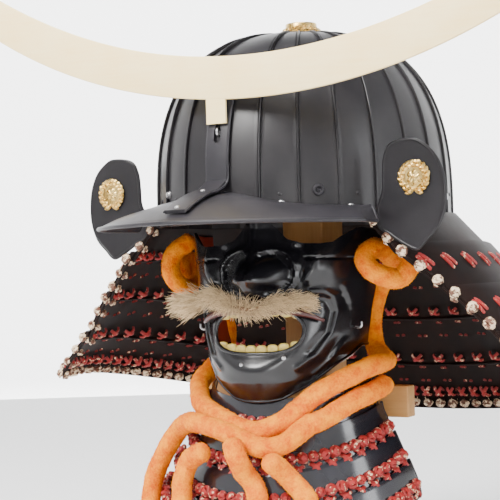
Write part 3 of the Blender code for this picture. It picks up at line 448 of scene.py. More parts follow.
class GeometryTree:
    """A Geometry Nodes tree with named inputs and one method that makes any node."""

    def __init__(self, name: str) -> None:
        """Starts a tree with a geometry input and output."""
        self.group = bpy.data.node_groups.new(name, "GeometryNodeTree")
        self.face = self.group.interface
        self.face.new_socket("Geometry", in_out="INPUT", socket_type="NodeSocketGeometry")
        self.face.new_socket("Geometry", in_out="OUTPUT", socket_type="NodeSocketGeometry")
        self.start = self.group.nodes.new("NodeGroupInput")
        self.end = self.group.nodes.new("NodeGroupOutput")

    def input(self, name: str, kind: str) -> bpy.types.NodeSocket:
        """Adds a named input and returns its socket inside the tree."""
        self.face.new_socket(name, in_out="INPUT", socket_type=kind)
        return self.start.outputs[name]

    def node(self, kind: str, settings: dict[str, object] | None = None,
             inputs: dict[object, object] | None = None) -> bpy.types.Node:
        """Makes one node."""
        return fill_node(self.group.nodes.new(kind), self.group.links, settings, inputs)

    def finish(self, geometry: bpy.types.NodeSocket) -> None:
        """Links the tree's result."""
        self.group.links.new(geometry, self.end.inputs[0])

    def run(self, item: bpy.types.Object, values: dict[str, object]) -> bpy.types.Mesh:
        """Runs the tree on an object and returns a plain mesh.

        Args:
            item: the object that holds the points or curves.
            values: the inputs' values, by name.

        Returns:
            The evaluated mesh; the modifier is removed.
        """
        step = item.modifiers.new(self.group.name, "NODES")
        step.node_group = self.group
        for socket in self.face.items_tree:
            if socket.in_out == "INPUT" and socket.name in values:
                step[socket.identifier] = values[socket.name]
        mesh = evaluated_mesh(item)
        item.modifiers.remove(step)
        return mesh


def build_scatter_tree() -> GeometryTree:
    """Builds the tree that puts a copy of a small shape at each point.

    Each point holds the vectors "facing" and "along", and the numbers "size" and "tone".

    Returns:
        The tree, with the inputs Shape, Finish, Loose, Vary and Seed.
    """
    tree = GeometryTree("scatter")
    shape = tree.input("Shape", "NodeSocketObject")
    finish = tree.input("Finish", "NodeSocketMaterial")
    loose = tree.input("Loose", "NodeSocketFloat")
    vary = tree.input("Vary", "NodeSocketFloat")
    seed = tree.input("Seed", "NodeSocketInt")

    def named(name: str, kind: str) -> bpy.types.NodeSocket:
        """Reads an attribute of the points."""
        reader = tree.node("GeometryNodeInputNamedAttribute", {"data_type": kind}, {"Name": name})
        return reader.outputs["Attribute"]

    def summed(operation: str, first: object, second: object) -> bpy.types.NodeSocket:
        """Works out one sum of two numbers."""
        return tree.node("ShaderNodeMath", {"operation": operation}, {0: first, 1: second}).outputs[0]

    def spread(amount: bpy.types.NodeSocket, middle: float, offset: int) -> bpy.types.NodeSocket:
        """Returns a random number within an amount of a middle."""
        inputs = {2: summed("SUBTRACT", middle, amount), 3: summed("ADD", middle, amount),
                  "Seed": summed("ADD", seed, float(offset))}
        return tree.node("FunctionNodeRandomValue", {"data_type": "FLOAT"}, inputs).outputs[1]

    copied = tree.node("GeometryNodeObjectInfo", {"transform_space": "ORIGINAL"}, {"Object": shape})
    upright = tree.node("FunctionNodeAlignRotationToVector", {"axis": "Z"},
                        {"Vector": named("facing", "FLOAT_VECTOR")})
    turned = tree.node("FunctionNodeAlignRotationToVector", {"axis": "X", "pivot_axis": "Z"},
                       {"Rotation": upright.outputs[0], "Vector": named("along", "FLOAT_VECTOR")})
    twist = tree.node("ShaderNodeCombineXYZ", None, {"Z": spread(loose, 0.0, 1)})
    angles = tree.node("FunctionNodeEulerToRotation", None, {0: twist.outputs[0]})
    rotation = tree.node("FunctionNodeRotateRotation", {"rotation_space": "LOCAL"},
                         {"Rotation": turned.outputs[0], "Rotate By": angles.outputs[0]})
    scale = summed("MULTIPLY", named("size", "FLOAT"), spread(vary, 1.0, 2))
    copies = tree.node("GeometryNodeInstanceOnPoints", None,
                       {"Points": tree.start.outputs["Geometry"], "Instance": copied.outputs["Geometry"],
                        "Rotation": rotation.outputs[0], "Scale": scale})
    real = tree.node("GeometryNodeRealizeInstances", None, {"Geometry": copies.outputs[0]})
    dressed = tree.node("GeometryNodeSetMaterial", None, {"Geometry": real.outputs[0], "Material": finish})
    tree.finish(dressed.outputs[0])
    return tree


class Workshop:
    """What the pieces share: the scatter tree and a running seed."""

    def __init__(self) -> None:
        """Builds the shared tree."""
        self.scatter = build_scatter_tree()
        self.seed = 1
        self.seed_step = 7

    def strew(self, name: str, points: "Points", shape: bpy.types.Object, finish: Finish,
              turn: Turn = Turn.ALIGNED, vary: float = 0.0) -> bpy.types.Object:
        """Copies a small shape to every point as one piece.

        Args:
            name: the piece's name.
            points: the places with their directions, sizes and tones.
            shape: the small shape, with its foot at the origin and +Z outwards.
            finish: the copies' finish.
            turn: how far copies turn about their own axis.
            vary: how far their size varies, as a share.

        Returns:
            The finished piece.
        """
        holder = points.holder()
        self.seed += self.seed_step
        mesh = self.scatter.run(holder, {"Shape": shape, "Finish": finish.material, "Loose": turn.value,
                                         "Vary": vary, "Seed": self.seed})
        bpy.data.objects.remove(holder, do_unlink=True)
        return add_piece(name, mesh, finish)


@dataclass
class Points:
    """Places for copies, with the directions, size and tone of each."""

    places: list[Vector] = field(default_factory=list)
    facing: list[Vector] = field(default_factory=list)
    along: list[Vector] = field(default_factory=list)
    size: list[float] = field(default_factory=list)
    tone: list[float] = field(default_factory=list)

    def add(self, place: Vector, facing: Vector, along: Vector, size: float = 1.0, tone: float = 0.5) -> None:
        """Adds one place."""
        self.places.append(place)
        self.facing.append(facing)
        self.along.append(along)
        self.size.append(size)
        self.tone.append(tone)

    def holder(self) -> bpy.types.Object:
        """Returns a mesh object whose vertices hold the places and attributes."""
        mesh = bpy.data.meshes.new("points")
        mesh.from_pydata([tuple(p) for p in self.places], [], [])
        for name, values in (("facing", self.facing), ("along", self.along)):
            layer = mesh.attributes.new(name, "FLOAT_VECTOR", "POINT")
            layer.data.foreach_set("vector", np.array([tuple(v) for v in values], np.float32).ravel())
        for name, values in (("size", self.size), ("tone", self.tone)):
            layer = mesh.attributes.new(name, "FLOAT", "POINT")
            layer.data.foreach_set("value", np.array(values, np.float32))
        return linked("points", mesh)


def evaluated_mesh(item: bpy.types.Object) -> bpy.types.Mesh:
    """Returns a plain mesh of an object with its modifiers applied."""
    bpy.context.view_layer.update()
    graph = bpy.context.evaluated_depsgraph_get()
    return bpy.data.meshes.new_from_object(item.evaluated_get(graph))


def linked(name: str, data: bpy.types.ID | None) -> bpy.types.Object:
    """Returns a new object of the scene that holds the data."""
    item = bpy.data.objects.new(name, data)
    bpy.context.scene.collection.objects.link(item)
    return item


@contextmanager
def editing(mesh: bpy.types.Mesh) -> Iterator[bmesh.types.BMesh]:
    """Opens a mesh for editing and writes it back at the end."""
    builder = bmesh.new()
    builder.from_mesh(mesh)
    yield builder
    builder.to_mesh(mesh)
    builder.free()


def closed(mesh: bpy.types.Mesh, smooth: bool = True) -> bpy.types.Mesh:
    """Fills a mesh's open ends, points its faces outwards and, where asked, smooths them."""
    with editing(mesh) as builder:
        bmesh.ops.holes_fill(builder, edges=[e for e in builder.edges if e.is_boundary])
        bmesh.ops.recalc_face_normals(builder, faces=builder.faces)
    if smooth:
        mesh.shade_smooth()
    return mesh


def circle(count: int) -> list[float]:
    """Returns evenly spaced angles round a circle."""
    return [2 * math.pi * k / count for k in range(count)]


def lengths_along(line: Sequence[Vector]) -> np.ndarray:
    """Returns how far along a line each of its points is."""
    return np.concatenate([[0.0], np.cumsum([(b - a).length for a, b in zip(line, line[1:])])])


def add_piece(name: str, mesh: bpy.types.Mesh, finish: Finish,
              replaces: Iterable[str] = ()) -> bpy.types.Object:
    """Adds a finished mesh to the helmet.

    Args:
        name: the piece's name.
        mesh: its mesh, in the row frame.
        finish: its finish.
        replaces: the CAD nodes that it stands for.

    Returns:
        The piece.
    """
    mesh.name = name
    item = linked(name, mesh)
    if not mesh.materials or mesh.materials[0] is None:
        mesh.materials.clear()
        mesh.materials.append(finish.material)
    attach(item, BODY)
    if replaces:
        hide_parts(*replaces)
    return item


def grid_mesh(name: str, rows: Sequence[Sequence[Point]], wrap: bool = False) -> bpy.types.Mesh:
    """Returns an open sheet through rows of points.

    Args:
        name: the mesh's name.
        rows: rows of equally many points, from the top down.
        wrap: whether each row closes on itself.

    Returns:
        The mesh, whose faces look to the side from which the rows run left to right.
    """
    width = len(rows[0])
    steps = width if wrap else width - 1
    faces = []
    for upper in range(0, (len(rows) - 1) * width, width):
        lower = upper + width
        faces += [(upper + i, lower + i, lower + (i + 1) % width, upper + (i + 1) % width)
                  for i in range(steps)]
    mesh = bpy.data.meshes.new(name)
    mesh.from_pydata([tuple(p) for row in rows for p in row], [], faces)
    return mesh


def settle(item: bpy.types.Object, angle: float = 40.0, mend: bool = False) -> bpy.types.Mesh:
    """Applies an object's modifiers, removes it and returns the smooth mesh.

    Args:
        item: a helper object that has no place of its own.
        angle: edges sharper than this, in degrees, stay sharp.
        mend: whether doubles are merged and normals worked out again.

    Returns:
        The finished mesh.
    """
    mesh = evaluated_mesh(item)
    bpy.data.objects.remove(item, do_unlink=True)
    if mend:
        with editing(mesh) as builder:
            bmesh.ops.remove_doubles(builder, verts=builder.verts, dist=DOUBLE)
            bmesh.ops.recalc_face_normals(builder, faces=builder.faces)
    mesh.shade_smooth()
    mesh.set_sharp_from_angle(angle=math.radians(angle))
    return mesh


def helper(mesh: bpy.types.Mesh | bpy.types.Curve) -> bpy.types.Object:
    """Links data to a helper object."""
    return linked(mesh.name, mesh)


def walled(mesh: bpy.types.Mesh, wall: float, edge: float = 0.0, angle: float = 40.0) -> bpy.types.Mesh:
    """Gives a sheet its wall, grown inwards, and a rounded edge.

    Args:
        mesh: the open sheet.
        wall: its thickness.
        edge: the width of the rounded edge.
        angle: edges sharper than this, in degrees, stay sharp.

    Returns:
        The closed mesh.
    """
    item = helper(mesh)
    shell = item.modifiers.new("wall", "SOLIDIFY")
    shell.thickness = wall
    if edge:
        bevel = item.modifiers.new("edge", "BEVEL")
        bevel.width = edge
        bevel.segments = 2
        bevel.limit_method = "ANGLE"
        bevel.angle_limit = math.radians(60)
    return settle(item, angle)


def plate_mesh(name: str, outline: Sequence[tuple[float, float]], thickness: float, place: Matrix,
               edge: float) -> bpy.types.Mesh:
    """Extrudes a flat outline with a rounded edge.

    Args:
        name: the mesh's name.
        outline: the points in its own plane.
        thickness: the plate's thickness.
        place: where the plane lies.
        edge: the width of the rounded edge.

    Returns:
        The mesh in the row frame.
    """
    curve = bpy.data.curves.new(name, "CURVE")
    curve.dimensions = "2D"
    curve.fill_mode = "BOTH"
    curve.extrude = thickness / 2 - edge
    curve.bevel_depth = edge
    curve.bevel_resolution = 2
    curve.offset = -edge
    spline = curve.splines.new("POLY")
    spline.points.add(len(outline) - 1)
    for point, (x, y) in zip(spline.points, outline):
        point.co = (x, y, 0.0, 1.0)
    spline.use_cyclic_u = True
    mesh = settle(helper(curve), 50.0, mend=True)
    mesh.transform(place)
    return mesh


def joined(meshes: Sequence[bpy.types.Mesh]) -> bpy.types.Mesh:
    """Joins meshes of one finish into the first one's data."""
    builder = bmesh.new()
    for mesh in meshes:
        builder.from_mesh(mesh)
    made = bpy.data.meshes.new(meshes[0].name)
    builder.to_mesh(made)
    builder.free()
    made.shade_smooth()
    made.set_sharp_from_angle(angle=math.radians(40))
    return made


def turned_mesh(name: str, profile: Sequence[tuple[float, float]], place: Matrix,
                steps: int = 24) -> bpy.types.Mesh:
    """Turns a profile about Z.

    Args:
        name: the mesh's name.
        profile: points (radius, height), foot first.
        place: where the turned shape lies.
        steps: corners of its rings.

    Returns:
        The mesh in the row frame.
    """
    rows = [[(radius * math.cos(a), radius * math.sin(a), height) for a in circle(steps)]
            for radius, height in profile]
    mesh = grid_mesh(name, rows[::-1], wrap=True)
    mesh = settle(helper(mesh), 40.0, mend=True)
    mesh.transform(place)
    return mesh


def frame_to(place: Vector, facing: Vector, along: Vector) -> Matrix:
    """Works out the matrix of a shape that stands on a surface.

    Args:
        place: its foot.
        facing: the direction of its Z.
        along: the direction that its X is nearest to.

    Returns:
        The matrix.
    """
    z = facing.normalized()
    x = (along - z * along.dot(z)).normalized()
    y = z.cross(x)
    turn = Matrix((x, y, z)).transposed().to_4x4()
    return Matrix.Translation(place) @ turn


def smooth_line(route: Sequence[Point], count: int) -> list[Vector]:
    """Draws a smooth curve through a route.

    Args:
        route: the places it passes.
        count: how many points come back.

    Returns:
        Evenly spaced points along the curve.
    """
    knots = [Vector(p) for p in route]
    knots = [2 * knots[0] - knots[1]] + knots + [2 * knots[-1] - knots[-2]]
    fine: list[Vector] = []
    steps = 12
    for i in range(1, len(knots) - 2):
        a, b, c, d = knots[i - 1:i + 3]
        for j in range(steps):
            t = j / steps
            fine.append(0.5 * (2 * b + (c - a) * t + (2 * a - 5 * b + 4 * c - d) * t * t
                               + (3 * b - a - 3 * c + d) * t ** 3))
    fine.append(knots[-2])
    along = lengths_along(fine)
    xyz = np.array([tuple(p) for p in fine])
    at = np.linspace(0.0, along[-1], count)
    return [Vector(row) for row in np.stack([np.interp(at, along, xyz[:, k]) for k in range(3)], axis=1)]


def interpolated(rows: Sequence[Sequence[float]], column: int, level: float) -> float:
    """Returns a table's column at a level counted in rows."""
    return float(np.interp(level, range(len(rows)), [row[column] for row in rows]))


class Shapes:
    """Small shapes with their foot at the origin and +Z outwards, a few dozen faces each."""

    def __init__(self) -> None:
        """Keeps the shapes in a hidden collection."""
        self.group = bpy.data.collections.new("small_shapes")

    def _keep(self, mesh: bpy.types.Mesh) -> bpy.types.Object:
        """Stores a mesh as an object that isn't in the scene."""
        item = bpy.data.objects.new(mesh.name, mesh)
        self.group.objects.link(item)
        return item

    def strand(self, name: str, line: Sequence[Point], radius: float, flat: float = 1.0, sides: int = 5,
               tip: float = 1.0) -> bpy.types.Mesh:
        """Builds a closed strand along a line.

        Args:
            name: the mesh's name.
            line: its points.
            radius: its radius at the first point.
            flat: its height as a share of its width.
            sides: corners of its section.
            tip: the radius at the last point as a share of the first.

        Returns:
            The mesh.
        """
        points = [Vector(p) for p in line]
        side = Vector((0, 1, 0))
        rows = []
        for index, point in enumerate(points):
            ahead = (points[min(index + 1, len(points) - 1)] - points[max(index - 1, 0)]).normalized()
            across = ahead.cross(side)
            across = across.normalized() if across.length > 1e-6 else Vector((1, 0, 0))
            other = across.cross(ahead)
            size = radius * (1 + (tip - 1) * index / (len(points) - 1))
            rows.append([point + across * (math.cos(a) * size * flat) + other * (math.sin(a) * size)
                         for a in circle(sides)])
        return closed(grid_mesh(name, rows, wrap=True))

    def with_tone(self, mesh: bpy.types.Mesh, low: float = 0.0, high: float = 1.0) -> bpy.types.Mesh:
        """Adds the attribute "tone", from low at the foot to high at the top."""
        heights = [v.co.z for v in mesh.vertices]
        bottom, top = min(heights), max(heights)
        layer = mesh.attributes.new("tone", "FLOAT", "POINT")
        span = max(top - bottom, 1e-9)
        layer.data.foreach_set("value", [low + (high - low) * (z - bottom) / span for z in heights])
        return mesh

    def cross_knot(self) -> bpy.types.Object:
        """Builds two short cords that cross, each 10 mm long."""
        arms = []
        for turn, rise in ((0.62, 0.0), (-0.62, 0.0007)):
            line = [(-0.0054, 0, -0.0006), (-0.0040, 0, 0.0014), (0, 0, 0.0022 + rise), (0.0040, 0, 0.0014),
                    (0.0054, 0, -0.0006)]
            arm = self.strand("arm", line, 0.0017, 0.62, 6)
            arm.transform(Matrix.Rotation(turn, 4, "Z"))
            arms.append(arm)
        return self._keep(self.with_tone(joined(arms)))

    def lace_pair(self) -> bpy.types.Object:
        """Builds two braids side by side that run 15 mm down between two lames."""
        braids = []
        for side in (-1, 1):
            line = [(-0.0085, 0, -0.0010), (-0.0068, 0, 0.0013), (-0.0030, 0, 0.0021), (0.0015, 0, 0.0020),
                    (0.0058, 0, 0.0013), (0.0078, 0, -0.0010)]
            braid = self.strand("braid", line, 0.0019, 0.6, 6)
            braid.transform(Matrix.Rotation(0.10 * side, 4, "Z"))
            braid.transform(Matrix.Translation((0, 0.0022 * side, 0)))
            braids.append(braid)
        return self._keep(self.with_tone(joined(braids)))

    def ball_knot(self) -> bpy.types.Object:
        """Builds a plump knot of wound cord, 9 mm across."""
        ring = [(0.0026 * math.cos(a), 0.0026 * math.sin(a), 0.0022) for a in circle(9) + [2 * math.pi]]
        core = self.strand("core", ring, 0.0019, 1.0, 6)
        band = [(-0.0036, 0, 0.0002), (-0.0024, 0, 0.0040), (0.0, 0, 0.0050), (0.0024, 0, 0.0040),
                (0.0036, 0, 0.0002)]
        over = self.strand("over", band, 0.0018, 0.7, 6)
        return self._keep(self.with_tone(joined([core, over])))

    def dome(self, radius: float, height: float) -> bpy.types.Object:
        """Builds a domed rivet head."""
        profile = [(radius, -0.0004), (radius, height * 0.12), (radius * 0.9, height * 0.5),
                   (radius * 0.62, height * 0.83), (radius * 0.3, height * 0.97), (1e-5, height)]
        return self._keep(turned_mesh("dome", profile, Matrix.Identity(4), 12))

    def bristle(self, length: float, radius: float, bend: float, steps: int = 4) -> bpy.types.Object:
        """Builds a tapered bristle that bends along +X as it rises.

        Args:
            length: its length.
            radius: its radius at the root.
            bend: how far its tip bends over, as a share of its length.
            steps: how many stretches it has.

        Returns:
            The bristle, kept out of sight.
        """
        line = [(bend * t * t * length, 0.0, length * t) for t in (k / steps for k in range(steps + 1))]
        mesh = self.strand("bristle", line, radius, 1.0, 3, 0.18)
        return self._keep(self.with_tone(mesh, 0.25, 1.0))

    def leaf(self) -> bpy.types.Object:
        """Builds a small pointed leaf with a raised midrib, 4.6 mm long."""
        outline = [(-0.0023, 0.0), (-0.0012, 0.00095), (0.0002, 0.00125), (0.0014, 0.0008), (0.0023, 0.0)]
        rows = []
        for share in (-1.0, -0.5, 0.0, 0.5, 1.0):
            rise = 0.0013 * (1 - abs(share)) + 0.0003
            rows.append([(x, y * share, rise * (1 - (x / 0.0026) ** 2)) for x, y in outline])
        mesh = grid_mesh("leaf", rows)
        return self._keep(walled(mesh, 0.0007))


@dataclass
class Bowl:
    """The ribbed bowl: long plates with a standing ridge between each two.

    Sizes are in metres and angles in degrees.
    """

    half_width: float = 0.1105
    half_length: float = 0.1318
    height: float = 0.1375
    wall: float = 0.002
    power: float = 2.6
    rim_drop: float = 0.013
    front_plate: float = 33.0
    rear_plates: int = 23
    rib_height: float = 0.0022
    rib_width: float = 0.0014
    crown_hole: float = 0.011
    steps: int = 9
    levels: int = 46
    rivet_share: float = 0.045
    screws: tuple[tuple[float, float], ...] = ((-29.5, 0.075), (101.5, 0.03))
    socket: tuple[float, float] = (37.4, 0.062)
    ridge: tuple[tuple[float, float, float], ...] = (
        # across, ridge, step
        (-1.7, 0.0, 0.22), (-1.0, 0.12, 0.22), (-0.8, 0.86, 0.0), (-0.35, 1.0, 0.0),
        (0.35, 1.0, 0.0), (0.8, 0.86, 0.0), (1.0, 0.1, 0.0), (1.7, 0.0, 0.0),
    )

    def radius_share(self, share: float) -> float:
        """Returns the radius at a share of the height, as a share of the rim's."""
        return (1.0 - share ** self.power) ** (1.0 / self.power)

    def point(self, angle: float, share: float, lift: float = 0.0) -> Vector:
        """Returns a point on the bowl.

        Args:
            angle: from the front towards the wearer's left, in radians.
            share: the height as a share of the bowl's.
            lift: how far it stands out.

        Returns:
            The point.
        """
        radius = self.radius_share(share)
        x = (self.half_width * radius + lift) * math.sin(angle)
        y = -(self.half_length * radius + lift) * math.cos(angle)
        return Vector((x, y, RIM_Z + self.height * share + lift * share))

    def rib_angles(self) -> list[float]:
        """Returns the angles of the ridges: one wide front plate, then even ones."""
        half = math.radians(self.front_plate / 2)
        pitch = (2 * math.pi - 2 * half) / self.rear_plates
        return [half + i * pitch for i in range(self.rear_plates + 1)]

    def stations(self) -> list[tuple[float, float, float]]:
        """Returns (angle, ridge, step) round the bowl, with both in shares of the ridge's height."""
        half = self.rib_width / (2 * self.half_width)
        ribs = self.rib_angles()
        found = []
        for here, there in zip(ribs, ribs[1:] + [ribs[0] + 2 * math.pi]):
            found += [(here + half * across, ridge, step) for across, ridge, step in self.ridge]
            count = self.steps * (2 if there - here > 0.4 else 1)
            for k in range(1, count):
                place = k / count
                found.append((here + half * 2 + (there - here - half * 4) * place, 0.0, 0.22 * place))
        return found

    def top_share(self) -> float:
        """Returns the height of the hole at the crown as a share."""
        return (1.0 - (self.crown_hole / self.half_width) ** self.power) ** (1.0 / self.power)

    def build_shell(self) -> bpy.types.Object:
        """Builds the bowl with its ridges, wall and turned rim."""
        top = self.top_share()
        shares = [top * math.cos(math.pi / 2 * (i / self.levels) ** 0.85) for i in range(self.levels + 1)]
        shares[-1] = 0.0
        stations = self.stations()
        rows = []
        for share in shares:
            fade = min(1.0, max(0.25, (self.radius_share(share) - 0.10) / 0.42))
            rows.append([self.point(a, share, self.rib_height * (ridge * fade + step * fade))
                         for a, ridge, step in stations])
        base = rows[-1]
        for drop, out in ((0.3, 0.0), (0.75, 0.0), (0.86, 0.0007), (1.0, 0.0009)):
            rows.append([Vector((p.x * (1 + out / 0.11), p.y * (1 + out / 0.13), p.z - self.rim_drop * drop))
                         for p in base])
        mesh = walled(grid_mesh("bowl_shell", rows, wrap=True), self.wall, angle=32.0)
        return add_piece("bowl_shell", mesh, Finish.BOWL, ["bowl"])

    def surface(self, angle: float, share: float) -> tuple[Vector, Vector, Vector]:
        """Returns a place on the bowl with its outward and upward directions."""
        place = self.point(angle, share)
        up = (self.point(angle, min(share + 0.01, 0.99)) - self.point(angle, share - 0.01)).normalized()
        across = (self.point(angle + 0.01, share) - self.point(angle - 0.01, share)).normalized()
        return place, across.cross(up).normalized(), up

    def build_rivets(self, shop: Workshop, shapes: Shapes) -> list[bpy.types.Object]:
        """Builds the rivets along the rim and the larger screws beside the peak."""
        small = Points()
        half_plate = 0.5 * math.radians((360 - self.front_plate) / self.rear_plates)
        for rib in self.rib_angles():
            place, out, up = self.surface(rib + half_plate, self.rivet_share)
            small.add(place + out * (self.rib_height * 0.12), out, up)
        rivets = shop.strew("bowl_rivets", small, shapes.dome(0.0016, 0.0008), Finish.BOWL)
        screws = Points()
        for degrees, share in self.screws:
            place, out, up = self.surface(math.radians(degrees), share)
            screws.add(place + out * 0.0004, out, up)
        heads = shop.strew("bowl_screws", screws, shapes.dome(0.0032, 0.0022), Finish.STEEL)
        return [rivets, heads, self._build_socket(math.radians(self.socket[0]), self.socket[1])]

    def _build_socket(self, angle: float, share: float) -> bpy.types.Object:
        """Builds the ringed socket on the left side of the front."""
        place, out, up = self.surface(angle, share)
        profile = [(0.0044, -0.001), (0.0044, 0.0012), (0.0036, 0.0022), (0.0026, 0.0022), (0.0022, 0.0012),
                   (0.0014, 0.0008), (0.0009, 0.0014), (0.00001, 0.0016)]
        mesh = turned_mesh("bowl_socket", profile, frame_to(place, out, up))
        return add_piece("bowl_socket", mesh, Finish.SATIN)


@dataclass
class Crown:
    """The gilt petalled ring round the hole at the crown."""

    radius: float = 0.0185
    height: float = 0.0064
    hole: float = 0.0098
    foot_lift: float = 0.0026
    petals: int = 16

    def build(self, bowl: Bowl) -> bpy.types.Object:
        """Builds three rings of petals and a rolled collar."""
        foot = RIM_Z + bowl.height * bowl.top_share() + self.foot_lift - 0.0012
        tiers = [(1.0, 0.0, 0.0026, self.petals, 0.0), (0.84, 0.0020, 0.0030, self.petals, 0.5),
                 (0.70, 0.0040, 0.0028, self.petals - 4, 0.0)]
        parts = [self._tier(*tier, foot) for tier in tiers]
        collar = [(0.0124, 0.0030), (0.0122, -0.0022), (self.hole, -0.0022), (self.hole, 0.0072),
                  (0.0108, 0.0080), (0.0120, 0.0080), (0.0126, 0.0072), (0.0124, 0.0030)]
        parts.append(turned_mesh("collar", [(r, foot + z) for r, z in collar], Matrix.Identity(4), 48))
        return add_piece("crown_ring", joined(parts), Finish.GILT, ["top_ornament"])

    def _tier(self, size: float, rise: float, thick: float, petals: int, shift: float,
              foot: float) -> bpy.types.Mesh:
        """Builds one ring of rounded petals.

        Args:
            size: its radius as a share of the ring's.
            rise: its height over the foot.
            thick: its thickness.
            petals: how many petals it has.
            shift: its turn in petals.
            foot: the height of the foot.

        Returns:
            The mesh.
        """
        columns = petals * 8
        rows = []
        for share in (0.60, 0.74, 0.86, 0.95, 1.0, 1.0, 0.9, 0.6):
            rows.append([])
            index = len(rows)
            for k in range(columns):
                phase = (k / 8 + shift) % 1.0
                lobe = abs(math.sin(math.pi * phase))
                angle = 2 * math.pi * k / columns
                radius = self.radius * size * share * (1.0 - (0.10 * (1 - lobe ** 0.7)) * (share > 0.8))
                dome = math.sqrt(max(0.0, 1 - ((share - 0.6) / 0.42) ** 2))
                z = foot + rise + (thick * (0.35 + 0.65 * lobe ** 0.6) * dome if index < 6 else 0.0)
                rows[-1].append((radius * math.cos(angle), radius * math.sin(angle), z))
        rows.append(rows[0])
        return settle(helper(grid_mesh("petals", rows, wrap=True)), 50.0, mend=True)


@dataclass
class Peak:
    """The peak over the brow, with its rolled edge."""

    bowl: Bowl
    span: float = 55.0
    reach: float = 0.0625
    end_reach: float = 0.031
    thick: float = 0.0018
    top_z: float = 0.0095
    brow_rise: float = 0.013
    drop: float = 0.0215
    clearance: float = 0.0034
    arch: float = 0.004
    edge_radius: float = 0.0016
    rivet_shares: tuple[float, ...] = (-0.86, -0.45, 0.45, 0.87)

    def inner(self, share: float) -> Vector:
        """Returns a point of the joint with the bowl, share from -1 to 1."""
        angle = math.radians(self.span) * share
        x = (self.bowl.half_width + self.clearance) * math.sin(angle)
        y = -(self.bowl.half_length + self.clearance) * math.cos(angle)
        rise = self.brow_rise * math.exp(-(share / 0.42) ** 2)
        return Vector((x, y, RIM_Z + self.top_z - self.brow_rise + rise))

    def outer(self, share: float) -> Vector:
        """Returns a point of the free edge."""
        inner = self.inner(share)
        angle = math.radians(self.span * 0.92) * share
        reach = self.end_reach + (self.reach - self.end_reach) * (1.0 - share * share) ** 0.9
        reach *= max(0.0, 1.0 - max(0.0, abs(share) - 0.86) / 0.14 * 0.55)
        outer = inner + Vector((math.sin(angle), -math.cos(angle), 0.0)) * reach
        outer.z = RIM_Z + self.top_z - self.drop - 0.002 * abs(share)
        return outer

    def point(self, share: float, across: float, lift: float = 0.0) -> Vector:
        """Returns a point of the upper face, across from 0 at the bowl to 1 at the free edge."""
        place = self.inner(share).lerp(self.outer(share), across)
        place.z += self.arch * math.sin(math.pi * across) + lift
        return place

    def build(self) -> list[bpy.types.Object]:
        """Builds the plate and the rolled edge."""
        even = [-1 + 2 * i / 110 for i in range(111)]
        shares = [math.sin(math.pi / 2 * share) * 0.3 + 0.7 * share for share in even]
        rows = [[self.point(s, a / 14) for s in shares] for a in range(15)]
        plate = walled(grid_mesh("peak_plate", rows), self.thick, 0.0004)
        free = [self.point(-1, a / 8) for a in range(8)] + [self.point(s, 1.0) for s in shares]
        free += [self.point(1, a / 8) for a in range(7, -1, -1)]
        middle = [p - Vector((0, 0, self.thick / 2)) for p in free]
        line = smooth_line(middle, 190)
        roll = tube_mesh("peak_roll", line, self.edge_radius, 10)
        return [add_piece("peak_plate", plate, Finish.SATIN, ["peak"]),
                add_piece("peak_roll", roll, Finish.SATIN)]

    def build_rivets(self, shop: Workshop, shapes: Shapes) -> bpy.types.Object:
        """Builds the rivets along the joint."""
        points = Points()
        for share in self.rivet_shares:
            place = self.point(share, 0.11)
            ahead = (self.point(share, 0.16) - self.point(share, 0.06)).normalized()
            across = (self.point(share + 0.02, 0.11) - self.point(share - 0.02, 0.11)).normalized()
            up = ahead.cross(across).normalized()
            points.add(place, up if up.z > 0 else -up, across)
        return shop.strew("peak_rivets", points, shapes.dome(0.0024, 0.0014), Finish.STEEL)


def tube_mesh(name: str, line: Sequence[Vector], radius: float | Callable[[float], float],
              sides: int = 12) -> bpy.types.Mesh:
    """Builds a tube with rounded ends along a line, with a frame that doesn't twist.

    Args:
        name: the mesh's name.
        line: the points along its middle.
        radius: its radius, or a function of the share along it.
        sides: corners of its section.

    Returns:
        The mesh.
    """
    side = Vector((0, 0, 1))
    rows = []
    last = len(line) - 1
    for index, point in enumerate(line):
        ahead = (line[min(index + 1, last)] - line[max(index - 1, 0)]).normalized()
        side = side - ahead * side.dot(ahead)
        side = side.normalized() if side.length > 1e-4 else ahead.orthogonal().normalized()
        other = ahead.cross(side)
        size = radius(index / last) if callable(radius) else radius
        rows.append([point + side * (math.cos(a) * size) + other * (math.sin(a) * size)
                     for a in circle(sides)])
    rows = _cap(line[0], line[1], rows[0])[::-1] + rows + _cap(line[-1], line[-2], rows[-1])
    return closed(grid_mesh(name, rows, wrap=True))


def _cap(end: Vector, inner: Vector, ring: Sequence[Vector]) -> list[list[Vector]]:
    """Works out the rounded cap beyond an end of a tube.

    Args:
        end: the middle of the last ring.
        inner: the middle of the ring before it.
        ring: the last ring.

    Returns:
        The cap's rings, outwards.
    """
    away = (end - inner).normalized()
    size = (ring[0] - end).length
    rings = []
    for turn in (0.45, 0.85, 1.2):
        centre = end + away * (size * 0.75 * math.sin(turn))
        rings.append([centre + (p - end) * math.cos(turn) for p in ring])
    return rings


